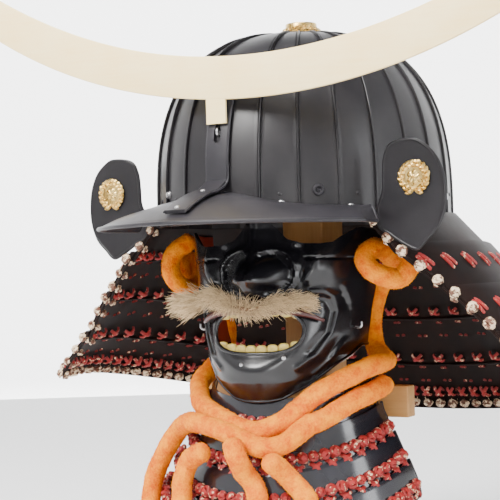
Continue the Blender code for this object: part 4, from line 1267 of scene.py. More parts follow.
@dataclass
class Bracket:
    """The strip that holds the crest: up the bowl's front and along the peak."""

    peak: Peak
    width: float = 0.0175
    thick: float = 0.0028
    top_z: float = 0.096
    slot: float = 0.0058
    clear: float = 0.0009
    foot_share: float = 0.86
    slot_z: float = 0.052

    def path(self) -> list[Vector]:
        """Returns points (y, z) along the strip's inner face."""
        bowl = self.peak.bowl
        top, foot = self.top_z / bowl.height, (self.peak.top_z + 0.007) / bowl.height
        path = []
        for i in range(6):
            place = bowl.point(0.0, top + (foot - top) * i / 5, self.clear)
            path.append(Vector((place.y, place.z)))
        for i in range(4):
            place = self.peak.point(0.0, 0.16 + (self.foot_share - 0.16) * i / 3)
            path.append(Vector((place.y, place.z + self.clear)))
        return path

    def face(self, distance: float) -> list[Vector]:
        """Returns the path moved outwards by a distance."""
        path = self.path()
        moved = []
        for i, point in enumerate(path):
            along = (path[min(i + 1, len(path) - 1)] - path[max(i - 1, 0)]).normalized()
            moved.append(point + Vector((along.y, -along.x)) * distance)
        return moved

    def front_y(self, z: float) -> float:
        """Returns where the strip's front face is at a height."""
        face = [p for p in self.face(self.thick) if p.y > RIM_Z + self.peak.top_z * 2]
        return float(np.interp(z, [p.y for p in reversed(face)], [p.x for p in reversed(face)]))

    def build(self) -> list[bpy.types.Object]:
        """Builds the strip with its keyhole, the side beads and the hook."""
        half = self.width / 2
        inner, outer = self.face(0.0), self.face(self.thick)
        outline = [tuple(p) for p in inner] + [tuple(p) for p in reversed(outer)]
        upright = Matrix(((0, 0, 1, 0), (1, 0, 0, 0), (0, 1, 0, 0), (0, 0, 0, 1)))
        strip = helper(plate_mesh("bracket_strip", outline, self.width, upright, 0.0005))
        cutters = [self._keyhole(0.0, self.slot / 2, 0.0058), self._keyhole(0.0052, self.slot * 0.36, 0.0042)]
        for cutter in cutters:
            step = strip.modifiers.new("slot", "BOOLEAN")
            step.object = cutter
            step.solver = "EXACT"
        mesh = settle(strip, 32.0, mend=True)
        for cutter in cutters:
            bpy.data.objects.remove(cutter, do_unlink=True)
        beads = []
        for side in (-1, 1):
            line = [Vector((side * (half + 0.0002), p.x, p.y)) for p in self.face(self.thick * 0.55)]
            beads.append(tube_mesh("bracket_bead", smooth_line([tuple(p) for p in line], 60), 0.0009, 8))
        return [add_piece("bracket_strip", mesh, Finish.SATIN, ["crest_bracket"]),
                add_piece("bracket_beads", joined(beads), Finish.SATIN),
                add_piece("bracket_hook", self._hook(), Finish.STEEL)]

    def _keyhole(self, rise: float, radius: float, half_height: float) -> bpy.types.Object:
        """Builds the rounded cutter for the slot."""
        z = RIM_Z + self.slot_z - 0.001 + rise
        outline = []
        for angle in circle(24):
            lift = math.copysign(max(0.0, half_height - radius), math.sin(angle))
            outline.append((radius * math.cos(angle), radius * math.sin(angle) + lift))
        place = Matrix.Translation((0, -0.13, z)) @ Matrix.Rotation(math.pi / 2, 4, "X")
        return helper(plate_mesh("keyhole", outline, 0.06, place, 0.0))

    def _hook(self) -> bpy.types.Mesh:
        """Builds the small hook that shows in the slot."""
        z = RIM_Z + self.slot_z
        y = self.front_y(z)
        line = [(0.0, y + 0.0030, z + 0.0040), (0.0, y + 0.0006, z + 0.0036), (0.0, y - 0.0004, z + 0.0014),
                (0.0, y + 0.0006, z - 0.0012), (0.0, y + 0.0028, z - 0.0016)]
        return tube_mesh("bracket_hook", smooth_line(line, 16), 0.0010, 8)

    def build_rivets(self, shop: Workshop, shapes: Shapes) -> bpy.types.Object:
        """Builds the two rivets of the foot."""
        points = Points()
        face = self.face(self.thick)
        for index, share in ((6, 0.45), (8, 0.75)):
            here = face[index].lerp(face[index + 1], share)
            along = (face[index + 1] - face[index]).normalized()
            out = Vector((0, along.y, -along.x))
            points.add(Vector((0, here.x, here.y)), out, Vector((0, along.x, along.y)))
        return shop.strew("bracket_rivets", points, shapes.dome(0.0021, 0.0013), Finish.STEEL)


@dataclass
class Crest:
    """The crescent crest with its tang."""

    bracket: Bracket
    low_z: float = 0.077
    radius: float = 0.460
    half_arc: float = 0.345
    width: float = 0.030
    thick: float = 0.0026
    tilt: float = -4.0
    tang_end: float = 0.059
    tang_width: float = 0.0165
    edge: float = 0.0008
    steps: int = 180

    def plane_y(self) -> float:
        """Returns the middle of the crest's thickness."""
        return self.bracket.front_y(RIM_Z + self.tang_end) - 0.0006 - self.thick / 2

    def build(self) -> list[bpy.types.Object]:
        """Builds the crescent and its tang."""
        y, tilt = self.plane_y(), math.radians(self.tilt)
        rows = []
        for i in range(self.steps + 1):
            share = -1.0 + 2.0 * i / self.steps
            share = math.copysign(1 - (1 - abs(share)) ** 1.25, share)
            angle = share * self.half_arc / self.radius
            width = self.width * max(0.0, 1.0 - share ** 4) ** 0.5 + 0.0012
            middle = self.radius - width / 2 + 0.0003
            section = self._section(width / 2, self.thick / 2, min(self.edge, width * 0.3))
            row = []
            for across, deep in section:
                reach = middle + across
                x, up = reach * math.sin(angle), self.radius - reach * math.cos(angle)
                row.append((x * math.cos(tilt) - up * math.sin(tilt), y + deep,
                            RIM_Z + self.low_z + x * math.sin(tilt) + up * math.cos(tilt)))
            rows.append(row)
        mesh = closed(grid_mesh("crest_crescent", rows, wrap=True))
        mesh.set_sharp_from_angle(angle=math.radians(35))
        crescent = add_piece("crest_crescent", mesh, Finish.CREST, ["crest"])
        half = self.tang_width / 2
        top, low = self.low_z + self.width * 0.6, self.tang_end
        outline = [(-half, low), (half, low), (half, top), (-half, top)]
        place = Matrix.Translation((0, y, RIM_Z)) @ Matrix.Rotation(math.pi / 2, 4, "X")
        tang = plate_mesh("crest_tang", outline, self.thick - 0.0004, place, 0.0004)
        return [crescent, add_piece("crest_tang", tang, Finish.CREST)]

    @staticmethod
    def _section(half: float, deep: float, edge: float) -> list[tuple[float, float]]:
        """Returns the rounded section as (across, deep)."""
        corners = [(half, deep), (-half, deep), (-half, -deep), (half, -deep)]
        section = []
        for index, (x, y) in enumerate(corners):
            centre = (x - math.copysign(edge, x), y - math.copysign(edge * 0.8, y))
            for k in range(4):
                angle = math.pi / 4 + math.pi / 2 * index + math.pi / 2 * (k / 3 - 0.5)
                section.append((centre[0] + edge * math.cos(angle), centre[1] + edge * 0.8 * math.sin(angle)))
        return section


class Face(Enum):
    """Which face of a lame something sits on."""

    OUTER = 1.0
    INNER = -1.0


@dataclass(frozen=True)
class Lacing:
    """One row of laces or knots: its lame, level and pitch, and what is copied along it."""

    name: str
    lame: int
    level: float
    pitch: float
    shape: bpy.types.Object
    finish: Finish
    face: Face = Face.OUTER
    ends: float = 0.02
    upright: bool = False
    turn: Turn = Turn.ALIGNED
    vary: float = 0.08


@dataclass
class Lames:
    """What laced lames share: a surface by level and share, and their rims and lacing."""

    thick: float = 0.0018
    gap: float = 0.0006
    rim: float = 0.0013

    def lame_levels(self, index: int) -> tuple[list[float], list[float]]:
        """Returns a lame's levels and how far it stands off there."""
        raise NotImplementedError

    def point(self, level: float, share: float, lift: float) -> Vector:
        """Returns a point of the guard's surface."""
        raise NotImplementedError

    def lifted(self, index: int, level: float) -> float:
        """Returns how far a lame stands off at a level."""
        levels, lifts = self.lame_levels(index)
        return float(np.interp(level, levels, lifts))

    def on_face(self, index: int, level: float, share: float, face: Face) -> tuple[Vector, Vector, Vector]:
        """Returns a place on a lame's face with its outward and downward directions.

        Args:
            index: the lame, from 0 at the top.
            level: the height, counted in lames.
            share: the place round the guard, from -1 to 1.
            face: the outer or inner face.

        Returns:
            The place, the direction away from the face, and the direction down along it.
        """
        lift = self.lifted(index, level)
        place = self.point(level, share, lift)
        down = self.point(level + 0.1, share, lift) - self.point(level - 0.1, share, lift)
        left, right = min(share + 0.01, 1.0), max(share - 0.01, -1.0)
        across = self.point(level, left, lift) - self.point(level, right, lift)
        out = across.cross(down).normalized()
        if out.dot(Vector((place.x, place.y - 0.02, 0.0))) < 0:
            out = -out
        depth = 0.0 if face is Face.OUTER else self.thick
        return place - out * depth, out * face.value, down.normalized()

    def plate(self, name: str, index: int, finish: Finish, columns: int, replaces: str) -> bpy.types.Object:
        """Builds one lame with its wall.

        Args:
            name: the piece's name.
            index: the lame, from 0 at the top.
            finish: its finish.
            columns: how many steps it has round the guard.
            replaces: the CAD node that it stands for.

        Returns:
            The piece.
        """
        levels, lifts = self.lame_levels(index)
        rows = []
        for k in range(9):
            level = levels[0] + (levels[-1] - levels[0]) * k / 8
            lift = float(np.interp(level, levels, lifts))
            rows.append([self.point(level, -1.0 + 2.0 * i / columns, lift) for i in range(columns + 1)])
        return add_piece(name, walled(grid_mesh(name, rows), self.thick, 0.0003), finish, [replaces])

    def rim_line(self, index: int, count: int) -> list[Vector]:
        """Returns the line of a lame's rim: down one end, along its lower edge and up the other."""
        levels, _ = self.lame_levels(index)
        low = levels[-1]
        ends = [levels[0] + (low - levels[0]) * k / 6 for k in range(6)]
        route = [(level, -1.0) for level in ends] + [(low, -1.0 + 2.0 * k / 60) for k in range(61)]
        route += [(level, 1.0) for level in reversed(ends)]
        line = []
        for level, share in route:
            place, out, _ = self.on_face(index, level, share, Face.OUTER)
            line.append(place - out * (self.thick / 2))
        return smooth_line(line, count)

    def row(self, lacing: Lacing) -> Points:
        """Spaces the places of a row of lacing evenly along its lame."""
        free = lacing.ends
        shares = [-1.0 + free + (2.0 - 2 * free) * k / 200 for k in range(201)]
        line = [self.on_face(lacing.lame, lacing.level, share, lacing.face)[0] for share in shares]
        length = lengths_along(line)
        count = max(2, round(length[-1] / lacing.pitch))
        points = Points()
        for at in np.linspace(0.0, length[-1], count + 1):
            share = float(np.interp(at, length, shares))
            place, out, down = self.on_face(lacing.lame, lacing.level, share, lacing.face)
            points.add(place, out, down if lacing.upright else out.cross(down))
        return points

    def laced(self, shop: Workshop, lacings: Iterable[Lacing]) -> list[bpy.types.Object]:
        """Builds one piece for each row of lacing."""
        return [shop.strew(lacing.name, self.row(lacing), lacing.shape, lacing.finish, lacing.turn,
                           lacing.vary) for lacing in lacings]

    def end_knots(self, index: int, pitch: float) -> Points:
        """Spaces knots down both ends of a lame, on its outer face and its edge.

        Args:
            index: the lame, from 0 at the top.
            pitch: the distance between knots.

        Returns:
            The places.
        """
        points = Points()
        levels, _ = self.lame_levels(index)
        low, high = levels[0], levels[-1]
        steps = [low + (high - low) * k / 40 for k in range(41)]
        for end in (-1.0, 1.0):
            line = [self.on_face(index, step, end, Face.OUTER)[0] for step in steps]
            length = lengths_along(line)
            for at in np.arange(pitch * 0.45, length[-1], pitch):
                level = float(np.interp(at, length, steps))
                place, out, down = self.on_face(index, level, end, Face.OUTER)
                inward = (self.on_face(index, level, end * 0.985, Face.OUTER)[0] - place).normalized()
                points.add(place + inward * 0.0022 - out * 0.0006, (out - inward * 0.5).normalized(), down)
                points.add(place + inward * 0.0034 - out * (self.thick - 0.0006), -out, inward, 0.8)
        return points


@dataclass
class NeckGuard(Lames):
    """The laced neck guard of four lames that hangs from the bowl's rim."""

    bowl: Bowl = field(default_factory=Bowl)
    drop: float = 0.124
    back_drop: float = 0.176
    start: float = 0.0095
    lap: float = 0.007
    top_clear: float = -0.0017
    rib: float = 0.0013
    lace_pitch: float = 0.0215
    hem_pitch: float = 0.0135
    inside_pitch: float = 0.0125
    end_pitch: float = 0.0165
    rows: tuple[tuple[float, ...], ...] = (
        # width, front, back, drop, back_drop, end_deg
        (1.000, 1.000, 1.000, 0.000, 0.000, 54.0),
        (1.260, 1.015, 1.260, 0.230, 0.250, 54.6),
        (1.508, 1.045, 1.495, 0.490, 0.510, 63.0),
        (1.744, 1.055, 1.720, 0.760, 0.760, 69.0),
        (2.040, 1.075, 1.910, 1.000, 1.000, 74.0),
    )

    def point(self, level: float, share: float, lift: float) -> Vector:
        """Returns a point of the guard, share from -1 at the wearer's right end to 1."""
        angle = math.pi + share * (math.pi - math.radians(interpolated(self.rows, 5, level)))
        top = self.rib + self.top_clear + self.thick * 1.5
        wide = (self.bowl.half_width + top) * interpolated(self.rows, 0, level) + lift
        front = (self.bowl.half_length + top) * interpolated(self.rows, 1, level) + lift
        back = (self.bowl.half_length + top) * interpolated(self.rows, 2, level) + lift
        rearward = -math.cos(angle)
        y = rearward * (back if rearward > 0 else front)
        blend = max(0.0, rearward) ** 1.4
        fall = (1 - blend) * self.drop * interpolated(self.rows, 3, level)
        fall += blend * self.back_drop * interpolated(self.rows, 4, level)
        return Vector((-wide * math.sin(angle), y, RIM_Z - self.start - fall))

    def _slope(self, level: int) -> float:
        """Returns how far the side runs out for each metre that it drops."""
        out = (self.rows[level + 1][0] - self.rows[level][0]) * self.bowl.half_width
        return out / ((self.rows[level + 1][3] - self.rows[level][3]) * self.drop)

    def lame_levels(self, index: int) -> tuple[list[float], list[float]]:
        """Returns a lame's levels and how far it stands off there."""
        if index == 0:
            return [0.0, 0.5, 1.0], [0.0, 0.0, 0.0]
        lap = self.lap / (self.drop * 0.25)
        skin = (self.thick + self.gap) * math.sqrt(1 + max(self._slope(index - 1), self._slope(index)) ** 2)
        return [index - lap, index + 0.5, index + 1.0], [skin * 1.25, skin * 0.85, 0.0]

    def build(self) -> list[bpy.types.Object]:
        """Builds the lames and their rims."""
        made = []
        for index in range(4):
            made.append(self.plate(f"neck_plate_{index + 1}", index, Finish.LAME, 150,
                                   f"neck_lame_{index + 1}"))
            rim = tube_mesh(f"neck_rim_{index + 1}", self.rim_line(index, 240), self.rim, 8)
            made.append(add_piece(f"neck_rim_{index + 1}", rim, Finish.LAME))
        return made

    def lace(self, shop: Workshop, shapes: Shapes) -> list[bpy.types.Object]:
        """Builds the lacing of both faces and of the ends."""
        pair, cross, ball = shapes.lace_pair(), shapes.cross_knot(), shapes.ball_knot()
        red, pale, inner = Finish.RED_BRAID, Finish.PALE_BRAID, Face.INNER
        rows = []
        for lame in (1, 2, 3):
            rows += [
                Lacing(f"neck_laces_{lame + 1}", lame, lame + 0.24, self.lace_pitch, pair, red, ends=0.03,
                       upright=True, vary=0.06),
                Lacing(f"neck_knots_{lame + 1}", lame - 1, lame - 0.16, self.lace_pitch, cross, red, inner,
                       ends=0.03),
            ]
        rows += [
            Lacing("neck_hem_crosses", 3, 3.66, self.lace_pitch, cross, red),
            Lacing("neck_hem_balls", 3, 3.84, self.hem_pitch, ball, pale, turn=Turn.LOOSE),
            Lacing("neck_hem_loops_inside", 3, 3.62, self.inside_pitch, cross, red, inner, upright=True),
            Lacing("neck_hem_balls_inside", 3, 3.86, self.inside_pitch, ball, pale, inner, turn=Turn.LOOSE),
        ]
        made = self.laced(shop, rows)
        for lame in range(4):
            ends = self.end_knots(lame, self.end_pitch)
            made.append(shop.strew(f"neck_end_knots_{lame + 1}", ends, ball, pale, Turn.LOOSE, 0.12))
        return made


@dataclass
class TurnBack:
    """One of the paddle-shaped turn-backs at the front of the neck guard, with its badge."""

    guard: NeckGuard
    side: int
    half_width: float = 0.02375
    height: float = 0.0790
    thick: float = 0.0022
    x: float = 0.1305
    top: float = 0.0425
    badge_radius: float = 0.0122
    badge_z: float = 0.015
    bow: float = 2.6
    shares: tuple[tuple[float, float], ...] = (
        (-0.02, 0.00), (0.35, -0.045), (0.72, -0.15), (0.96, -0.31), (1.03, -0.51), (0.97, -0.66),
        (0.75, -0.81), (0.42, -0.91), (0.07, -1.00), (-0.40, -0.94), (-0.82, -0.86), (-1.20, -0.79),
        (-1.27, -0.70), (-1.24, -0.60), (-1.05, -0.46), (-1.02, -0.30), (-0.96, -0.15), (-0.72, -0.03),
    )

    @property
    def label(self) -> str:
        """Returns the side's word."""
        return "left" if self.side > 0 else "right"

    def back_y(self) -> float:
        """Returns where the plate's back face is."""
        return min(self.guard.point(level, 1.0, 0.0).y for level in (0.0, 0.5, 1.0)) - 0.0006

    def outline(self, shrink: float) -> list[Vector]:
        """Returns the smooth outline in the plane, shrunk by a distance."""
        knots = [(x * self.half_width, y * self.height, 0.0) for x, y in self.shares]
        knots = knots[-2:] + knots + knots[:3]
        line = smooth_line(knots, 150)
        start = min(range(40), key=lambda i: (line[i] - Vector(knots[2])).length)
        end = min(range(100, 150), key=lambda i: (line[i] - Vector(knots[2])).length)
        ring = line[start:end]
        moved = []
        for i, point in enumerate(ring):
            along = (ring[(i + 1) % len(ring)] - ring[i - 1]).normalized()
            moved.append(point + Vector((along.y, -along.x, 0.0)) * shrink)
        return moved

    def _bowed(self, mesh: bpy.types.Mesh) -> bpy.types.Mesh:
        """Bends the plate back a little towards its outer edge."""
        for vertex in mesh.vertices:
            across = self.side * vertex.co.x - self.x
            vertex.co.y += self.bow * across * across
        return mesh

    def build(self) -> list[bpy.types.Object]:
        """Builds the plate and its rolled edge."""
        ring = self.outline(0.0008)
        rows = []
        centre = Vector((0.0, -self.height / 2, 0.0))
        for share in (0.02, 0.25, 0.45, 0.62, 0.76, 0.87, 0.95, 1.0):
            rows.append([centre + (p - centre) * share for p in ring])
        y = self.back_y()
        place = [[(self.side * (self.x + p.x), y - self.thick, RIM_Z + self.top + p.y) for p in row]
                 for row in rows]
        mesh = grid_mesh("paddle", place, wrap=True)
        with editing(mesh) as builder:
            bmesh.ops.holes_fill(builder, edges=[e for e in builder.edges if e.is_boundary], sides=0)
            rim_face = max(builder.faces, key=lambda f: f.calc_area())
            if len(rim_face.verts) == len(ring):
                bmesh.ops.delete(builder, geom=[rim_face], context="FACES_ONLY")
            bmesh.ops.recalc_face_normals(builder, faces=builder.faces)
            if sum(f.normal.y * f.calc_area() for f in builder.faces) > 0:
                bmesh.ops.reverse_faces(builder, faces=builder.faces)
        plate = self._bowed(walled(mesh, self.thick - 0.0002))
        edge = [Vector((self.side * (self.x + p.x), y - self.thick / 2, RIM_Z + self.top + p.y))
                for p in ring]
        roll = self._bowed(loop_tube("roll", edge, 0.00145, 8))
        name = f"turn_back_{self.label}"
        return [add_piece(f"{name}_plate", plate, Finish.PADDLE, [name]),
                add_piece(f"{name}_roll", roll, Finish.PADDLE)]

    def build_badge(self, shop: Workshop, leaf: bpy.types.Object) -> list[bpy.types.Object]:
        """Builds the gilt badge: a leafy wreath, open below, round a plain flower.

        Args:
            shop: the workshop that copies the leaf.
            leaf: the small leaf.

        Returns:
            The badge's body and its leaves.
        """
        centre = Vector((self.side * (self.x + 0.0015), self.back_y() - self.thick, RIM_Z + self.badge_z))
        place = Matrix.Translation(centre) @ Matrix.Rotation(math.pi / 2, 4, "X")
        radius = self.badge_radius
        profile = [(radius * 0.80, -0.0002), (radius * 0.80, 0.0004), (radius * 0.72, 0.0008),
                   (radius * 0.66, 0.0006), (0.00002, 0.0006)]
        base = turned_mesh("badge_base", profile, place, 40)
        flower = self._flower(place, radius)
        leaves = Points()
        for half in (-1, 1):
            for row, (reach, size, lean, count) in enumerate(((0.88, 1.0, 0.5, 9), (0.70, 0.82, -0.35, 8))):
                for k in range(count):
                    angle = half * math.radians(22 + 150 * (k + 0.3 * row) / (count - 1)) - math.pi / 2
                    ray = Vector((math.cos(angle), 0.0, math.sin(angle)))
                    round_way = Vector((-math.sin(angle) * half, 0.0, math.cos(angle) * half))
                    along = (round_way + ray * lean).normalized()
                    leaves.add(centre + ray * (radius * reach) + Vector((0, -0.0004 - 0.0004 * row, 0)),
                               Vector((0, -1, 0)), along, size)
        wreath = shop.strew(f"badge_{self.label}_leaves", leaves, leaf, Finish.GILT, Turn.LOOSE, 0.08)
        tails = []
        for half in (-1, 1):
            line = [centre + Vector((half * x, -0.0010, z)) for x, z in
                    ((0.0008, -0.0086), (0.0022, -0.0108), (0.0046, -0.0120), (0.0068, -0.0112))]
            tails.append(tube_mesh("tail", smooth_line(line, 12), lambda share: 0.0011 - 0.0006 * share, 6))
        body = add_piece(f"badge_{self.label}_body", joined([base, flower, *tails]), Finish.GILT,
                         [f"badge_{self.label}"])
        return [body, wreath]

    @staticmethod
    def _flower(place: Matrix, radius: float) -> bpy.types.Mesh:
        """Builds a plain five-petalled flower with a raised heart."""
        rows = []
        for share in (1.0, 0.92, 0.7, 0.45, 0.30, 0.24, 0.12, 0.001):
            row = []
            for angle in circle(60):
                lobe = abs(math.cos(2.5 * angle))
                size = radius * 0.46 * share * (0.72 + 0.28 * lobe ** 0.5 if share > 0.35 else 1.0)
                heart = 0.9 + 0.5 * (1 - share / 0.3)
                dome = math.sin(math.pi * (1 - share) / 0.75) if share > 0.3 else heart
                height = 0.0006 + 0.0013 * max(0.0, dome) * (0.55 + 0.45 * lobe)
                row.append((size * math.cos(angle), size * math.sin(angle), height))
            rows.append(row)
        mesh = settle(helper(grid_mesh("flower", rows[::-1], wrap=True)), 50.0, mend=True)
        mesh.transform(place)
        return mesh


def loop_tube(name: str, ring: Sequence[Vector], radius: float, sides: int) -> bpy.types.Mesh:
    """Builds a closed tube round a flat loop.

    Args:
        name: the mesh's name.
        ring: the loop's points.
        radius: the tube's radius.
        sides: corners of its section.

    Returns:
        The mesh.
    """
    rows = []
    count = len(ring)
    turns = ((a - ring[0]).cross(b - ring[0]) for a, b in zip(ring[1:], ring[2:]))
    normal = sum(turns, Vector()).normalized()
    for index, point in enumerate(ring):
        ahead = (ring[(index + 1) % count] - ring[index - 1]).normalized()
        side = ahead.cross(normal).normalized()
        rows.append([point + side * (math.cos(a) * radius) + normal * (math.sin(a) * radius)
                     for a in circle(sides)])
    rows.append(rows[0])
    return settle(helper(grid_mesh(name, rows, wrap=True)), 60.0, mend=True)


def bump_at(value: np.ndarray, middle: float, width: float) -> np.ndarray:
    """Returns a smooth hump round a middle value."""
    return np.exp(-((value - middle) / width) ** 2)


def line_distance(x: np.ndarray, z: np.ndarray, line: Sequence[tuple[float, float]]) -> np.ndarray:
    """Returns how far points are from a polyline."""
    best = np.full(np.shape(x), 1.0)
    for (ax, az), (bx, bz) in zip(line, line[1:]):
        dx, dz = bx - ax, bz - az
        t = np.clip(((x - ax) * dx + (z - az) * dz) / (dx * dx + dz * dz), 0.0, 1.0)
        best = np.minimum(best, np.hypot(x - ax - t * dx, z - az - t * dz))
    return best


@dataclass(frozen=True)
class Crease:
    """A raised or sunk line on both sides of the mask."""

    line: tuple[tuple[float, float], ...]
    height: float
    width: float

    def relief(self, side: np.ndarray, z: np.ndarray) -> np.ndarray:
        """Returns how far the face stands out for it."""
        return self.height * np.exp(-(line_distance(side, z, self.line) / self.width) ** 2)


@dataclass
class Mask:
    """The fierce half mask: cheeks, nose and chin in glossy black lacquer over a red lining."""

    turn_deg: float = 9.0
    pivot_y: float = -0.035
    half_width: float = 0.0725
    depth: float = 0.074
    back: float = 0.018
    top_z: float = -0.018
    chin_z: float = -0.145
    wall: float = 0.0022
    nose_reach: float = 0.030
    nose_z: float = -0.0555
    mouth_half: float = 0.0345
    mouth_top: float = -0.0815
    mouth_bottom: float = -0.1085
    teeth: int = 8
    tooth_pitch: float = 0.0085
    pins: tuple[tuple[float, float], ...] = ((-0.0090, -0.1169), (0.0225, -0.1124))
    jaw_hook: tuple[float, float] = (0.0600, -0.0930)
    columns: int = 168
    lines: int = 128
    rows: tuple[tuple[float, float, float], ...] = (
        (0.00, 1.00, 0.74), (0.15, 0.98, 0.80), (0.30, 0.94, 0.85), (0.45, 0.88, 0.88), (0.60, 0.84, 0.93),
        (0.75, 0.79, 0.99), (0.88, 0.68, 1.02), (1.00, 0.55, 0.96),
    )
    creases: tuple[Crease, ...] = (
        Crease(((0.040, -0.0645), (0.048, -0.0650), (0.0535, -0.0690), (0.0550, -0.0800), (0.0515, -0.0960),
                (0.0425, -0.1110), (0.031, -0.1200)), 0.0030, 0.0026),
        Crease(((0.040, -0.0700), (0.0475, -0.0715), (0.0500, -0.0800), (0.0470, -0.0950), (0.0385, -0.1080)),
               -0.0020, 0.0024),
        Crease(((0.0600, -0.0620), (0.0618, -0.0800), (0.0585, -0.1000), (0.0500, -0.1160), (0.040, -0.1260)),
               0.0024, 0.0024),
        Crease(((0.0575, -0.0700), (0.0582, -0.0820), (0.0552, -0.0980), (0.0470, -0.1130)), -0.0012, 0.0020),
        Crease(((0.036, -0.0400), (0.052, -0.0402), (0.068, -0.0415)), -0.0016, 0.0010),
        Crease(((0.043, -0.0300), (0.0445, -0.0390), (0.0430, -0.0480), (0.0385, -0.0560)), 0.0026, 0.0040),
        Crease(((0.0300, -0.0330), (0.0330, -0.0430), (0.0320, -0.0530), (0.0275, -0.0640)), -0.0020, 0.0030),
    )

    def relief(self, x: np.ndarray, z: np.ndarray) -> np.ndarray:
        """Works out how far the nose, cheeks, lips and folds stand out from the plain shell.

        Args:
            x: places across the mask, from its middle.
            z: heights from the rim.

        Returns:
            The relief at each place.
        """
        side = np.abs(x)
        ridge = np.interp(z, (-0.082, -0.072, -0.063, self.nose_z, -0.040, -0.026, -0.010),
                          (0.00, 0.18, 0.85, 1.00, 0.62, 0.44, 0.42))
        wide = np.interp(z, (-0.075, -0.055, -0.036, -0.010), (0.0150, 0.0145, 0.0100, 0.0095))
        nose = self.nose_reach * ridge * np.exp(-(side / wide) ** 2)
        wing_at = np.hypot(side - 0.0125, z + 0.0505)
        above = np.clip((z + 0.070) / 0.010, 0.0, 1.0)
        wing = 0.0085 * np.exp(-(wing_at / 0.0112) ** 4) * above
        ring = (0.0030 * bump_at(wing_at, 0.0172, 0.0022) - 0.0018 * bump_at(wing_at, 0.0138, 0.0017)) * above
        nostril = -0.0070 * np.exp(-((side - 0.0100) / 0.0052) ** 2 - ((z + 0.0630) / 0.0042) ** 2)
        cheek = 0.0060 * bump_at(side, 0.044, 0.017) * bump_at(z, -0.046, 0.017)
        around = np.hypot(side * 0.88, (z + 0.092) * 1.05)
        mouth = 0.0045 * bump_at(around, 0.031, 0.007) * bump_at(z, -0.098, 0.026)
        chin = 0.0040 * bump_at(side, 0.0, 0.028) * bump_at(z, -0.126, 0.018)
        folds = sum(crease.relief(side, z) for crease in self.creases)
        return nose + wing + ring * (side > 0.004) + nostril + cheek + mouth + chin + folds

    def local(self, turn: np.ndarray, z: np.ndarray, lift: float = 0.0) -> np.ndarray:
        """Returns points of the outer face in the mask's own frame.

        Args:
            turn: the place across the mask, from -1 to 1.
            z: the height from the rim.
            lift: how far it stands off.

        Returns:
            An array whose last axis holds x, y and z.
        """
        turn, z = np.asarray(turn, float), np.asarray(z, float)
        level = np.clip((z - self.top_z) / (self.chin_z - self.top_z), 0.0, 1.0)
        levels = [row[0] for row in self.rows]
        wide = self.half_width * np.interp(level, levels, [row[1] for row in self.rows]) + lift
        deep = self.depth * np.interp(level, levels, [row[2] for row in self.rows])
        angle = turn * math.pi / 2
        cosine = np.maximum(np.cos(angle), 0.0)
        x = wide * np.sin(angle) * (1.0 + 0.06 * cosine ** 2)
        forward = deep * cosine ** 0.86 + self.relief(x, z) + lift
        return np.stack([x, -forward, z], axis=-1)

    def frame(self) -> Matrix:
        """Returns where the mask's own frame is."""
        turn = Matrix.Rotation(math.radians(self.turn_deg), 4, "Z")
        return Matrix.Translation((0, self.pivot_y, RIM_Z)) @ turn

    def edge_top(self, angle: np.ndarray) -> np.ndarray:
        """Returns the height of the upper edge: bridge, eye hollow and temple."""
        return np.interp(np.abs(np.degrees(angle)), (0, 6, 10, 16, 26, 38, 46, 52, 58, 64, 70, 90),
                         (-0.010, -0.0115, -0.017, -0.0255, -0.029, -0.0295, -0.0285, -0.0245, -0.0212,
                          -0.0190, -0.018, -0.020))

    def edge_bottom(self, angle: np.ndarray) -> np.ndarray:
        """Returns the height of the lower edge: chin and jaw."""
        return np.interp(np.abs(np.degrees(angle)), (0, 12, 25, 45, 65, 90),
                         (self.chin_z, self.chin_z + 0.0004, -0.143, -0.134, -0.120, -0.108))

    def sheet(self, inset: float = 0.0) -> bpy.types.Mesh:
        """Returns the outer face as a sheet, its edges drawn in by an inset."""
        steps = np.linspace(-1.0, 1.0, self.columns + 1)
        turns = (np.sin(math.pi / 2 * steps) * 0.35 + steps * 0.65)
        angle = turns * math.pi / 2
        top, low = self.edge_top(angle) - inset, self.edge_bottom(angle) + inset
        frame = self.frame()
        rows = []
        for share in np.linspace(0.0, 1.0, self.lines + 1):
            line = self.local(turns, top + (low - top) * share)
            back = np.array((0.0, self.back - inset, 0.0))
            line = np.concatenate([[line[0] + back, line[0] + back * 0.5], line, [line[-1] + back * 0.5,
                                                                                 line[-1] + back]])
            rows.append([frame @ Vector(p) for p in line])
        return grid_mesh("mask_sheet", rows)

    def at(self, x: float, z: float, lift: float = 0.0) -> Vector:
        """Returns a place off the outer face by a lift along its smooth normal, in the row frame."""
        turns = np.linspace(-1.0, 1.0, 401)
        turn = float(np.interp(x, self.local(turns, np.full(401, z))[:, 0], turns))
        steps = self.local(np.array((turn, turn - 0.04, turn + 0.04, turn, turn)),
                           np.array((z, z, z, z + 0.006, z - 0.006)))
        place, left, right, high, low = (Vector(step) for step in steps)
        return self.frame() @ (place + (low - high).cross(right - left).normalized() * lift)

    def outward(self, x: float, z: float) -> Vector:
        """Returns the outward direction at a place."""
        return (self.at(x, z, 0.004) - self.at(x, z)).normalized()

    def mouth_outline(self, grow: float = 0.0, count: int = 96) -> list[tuple[float, float]]:
        """Returns the mouth's outline, (x, z) from the rim, wider above than below."""
        middle = (self.mouth_top + self.mouth_bottom) / 2
        half = (self.mouth_top - self.mouth_bottom) / 2 + grow
        outline = []
        for angle in circle(count):
            c, s = math.cos(angle), math.sin(angle)
            x = (self.mouth_half + grow) * math.copysign(abs(c) ** 0.62, c) * (1.0 + 0.07 * s)
            z = half * math.copysign(abs(s) ** 0.8, s)
            outline.append((x, middle + z + 0.006 * (1 - (x / self.mouth_half) ** 2) * (s > 0)))
        return outline

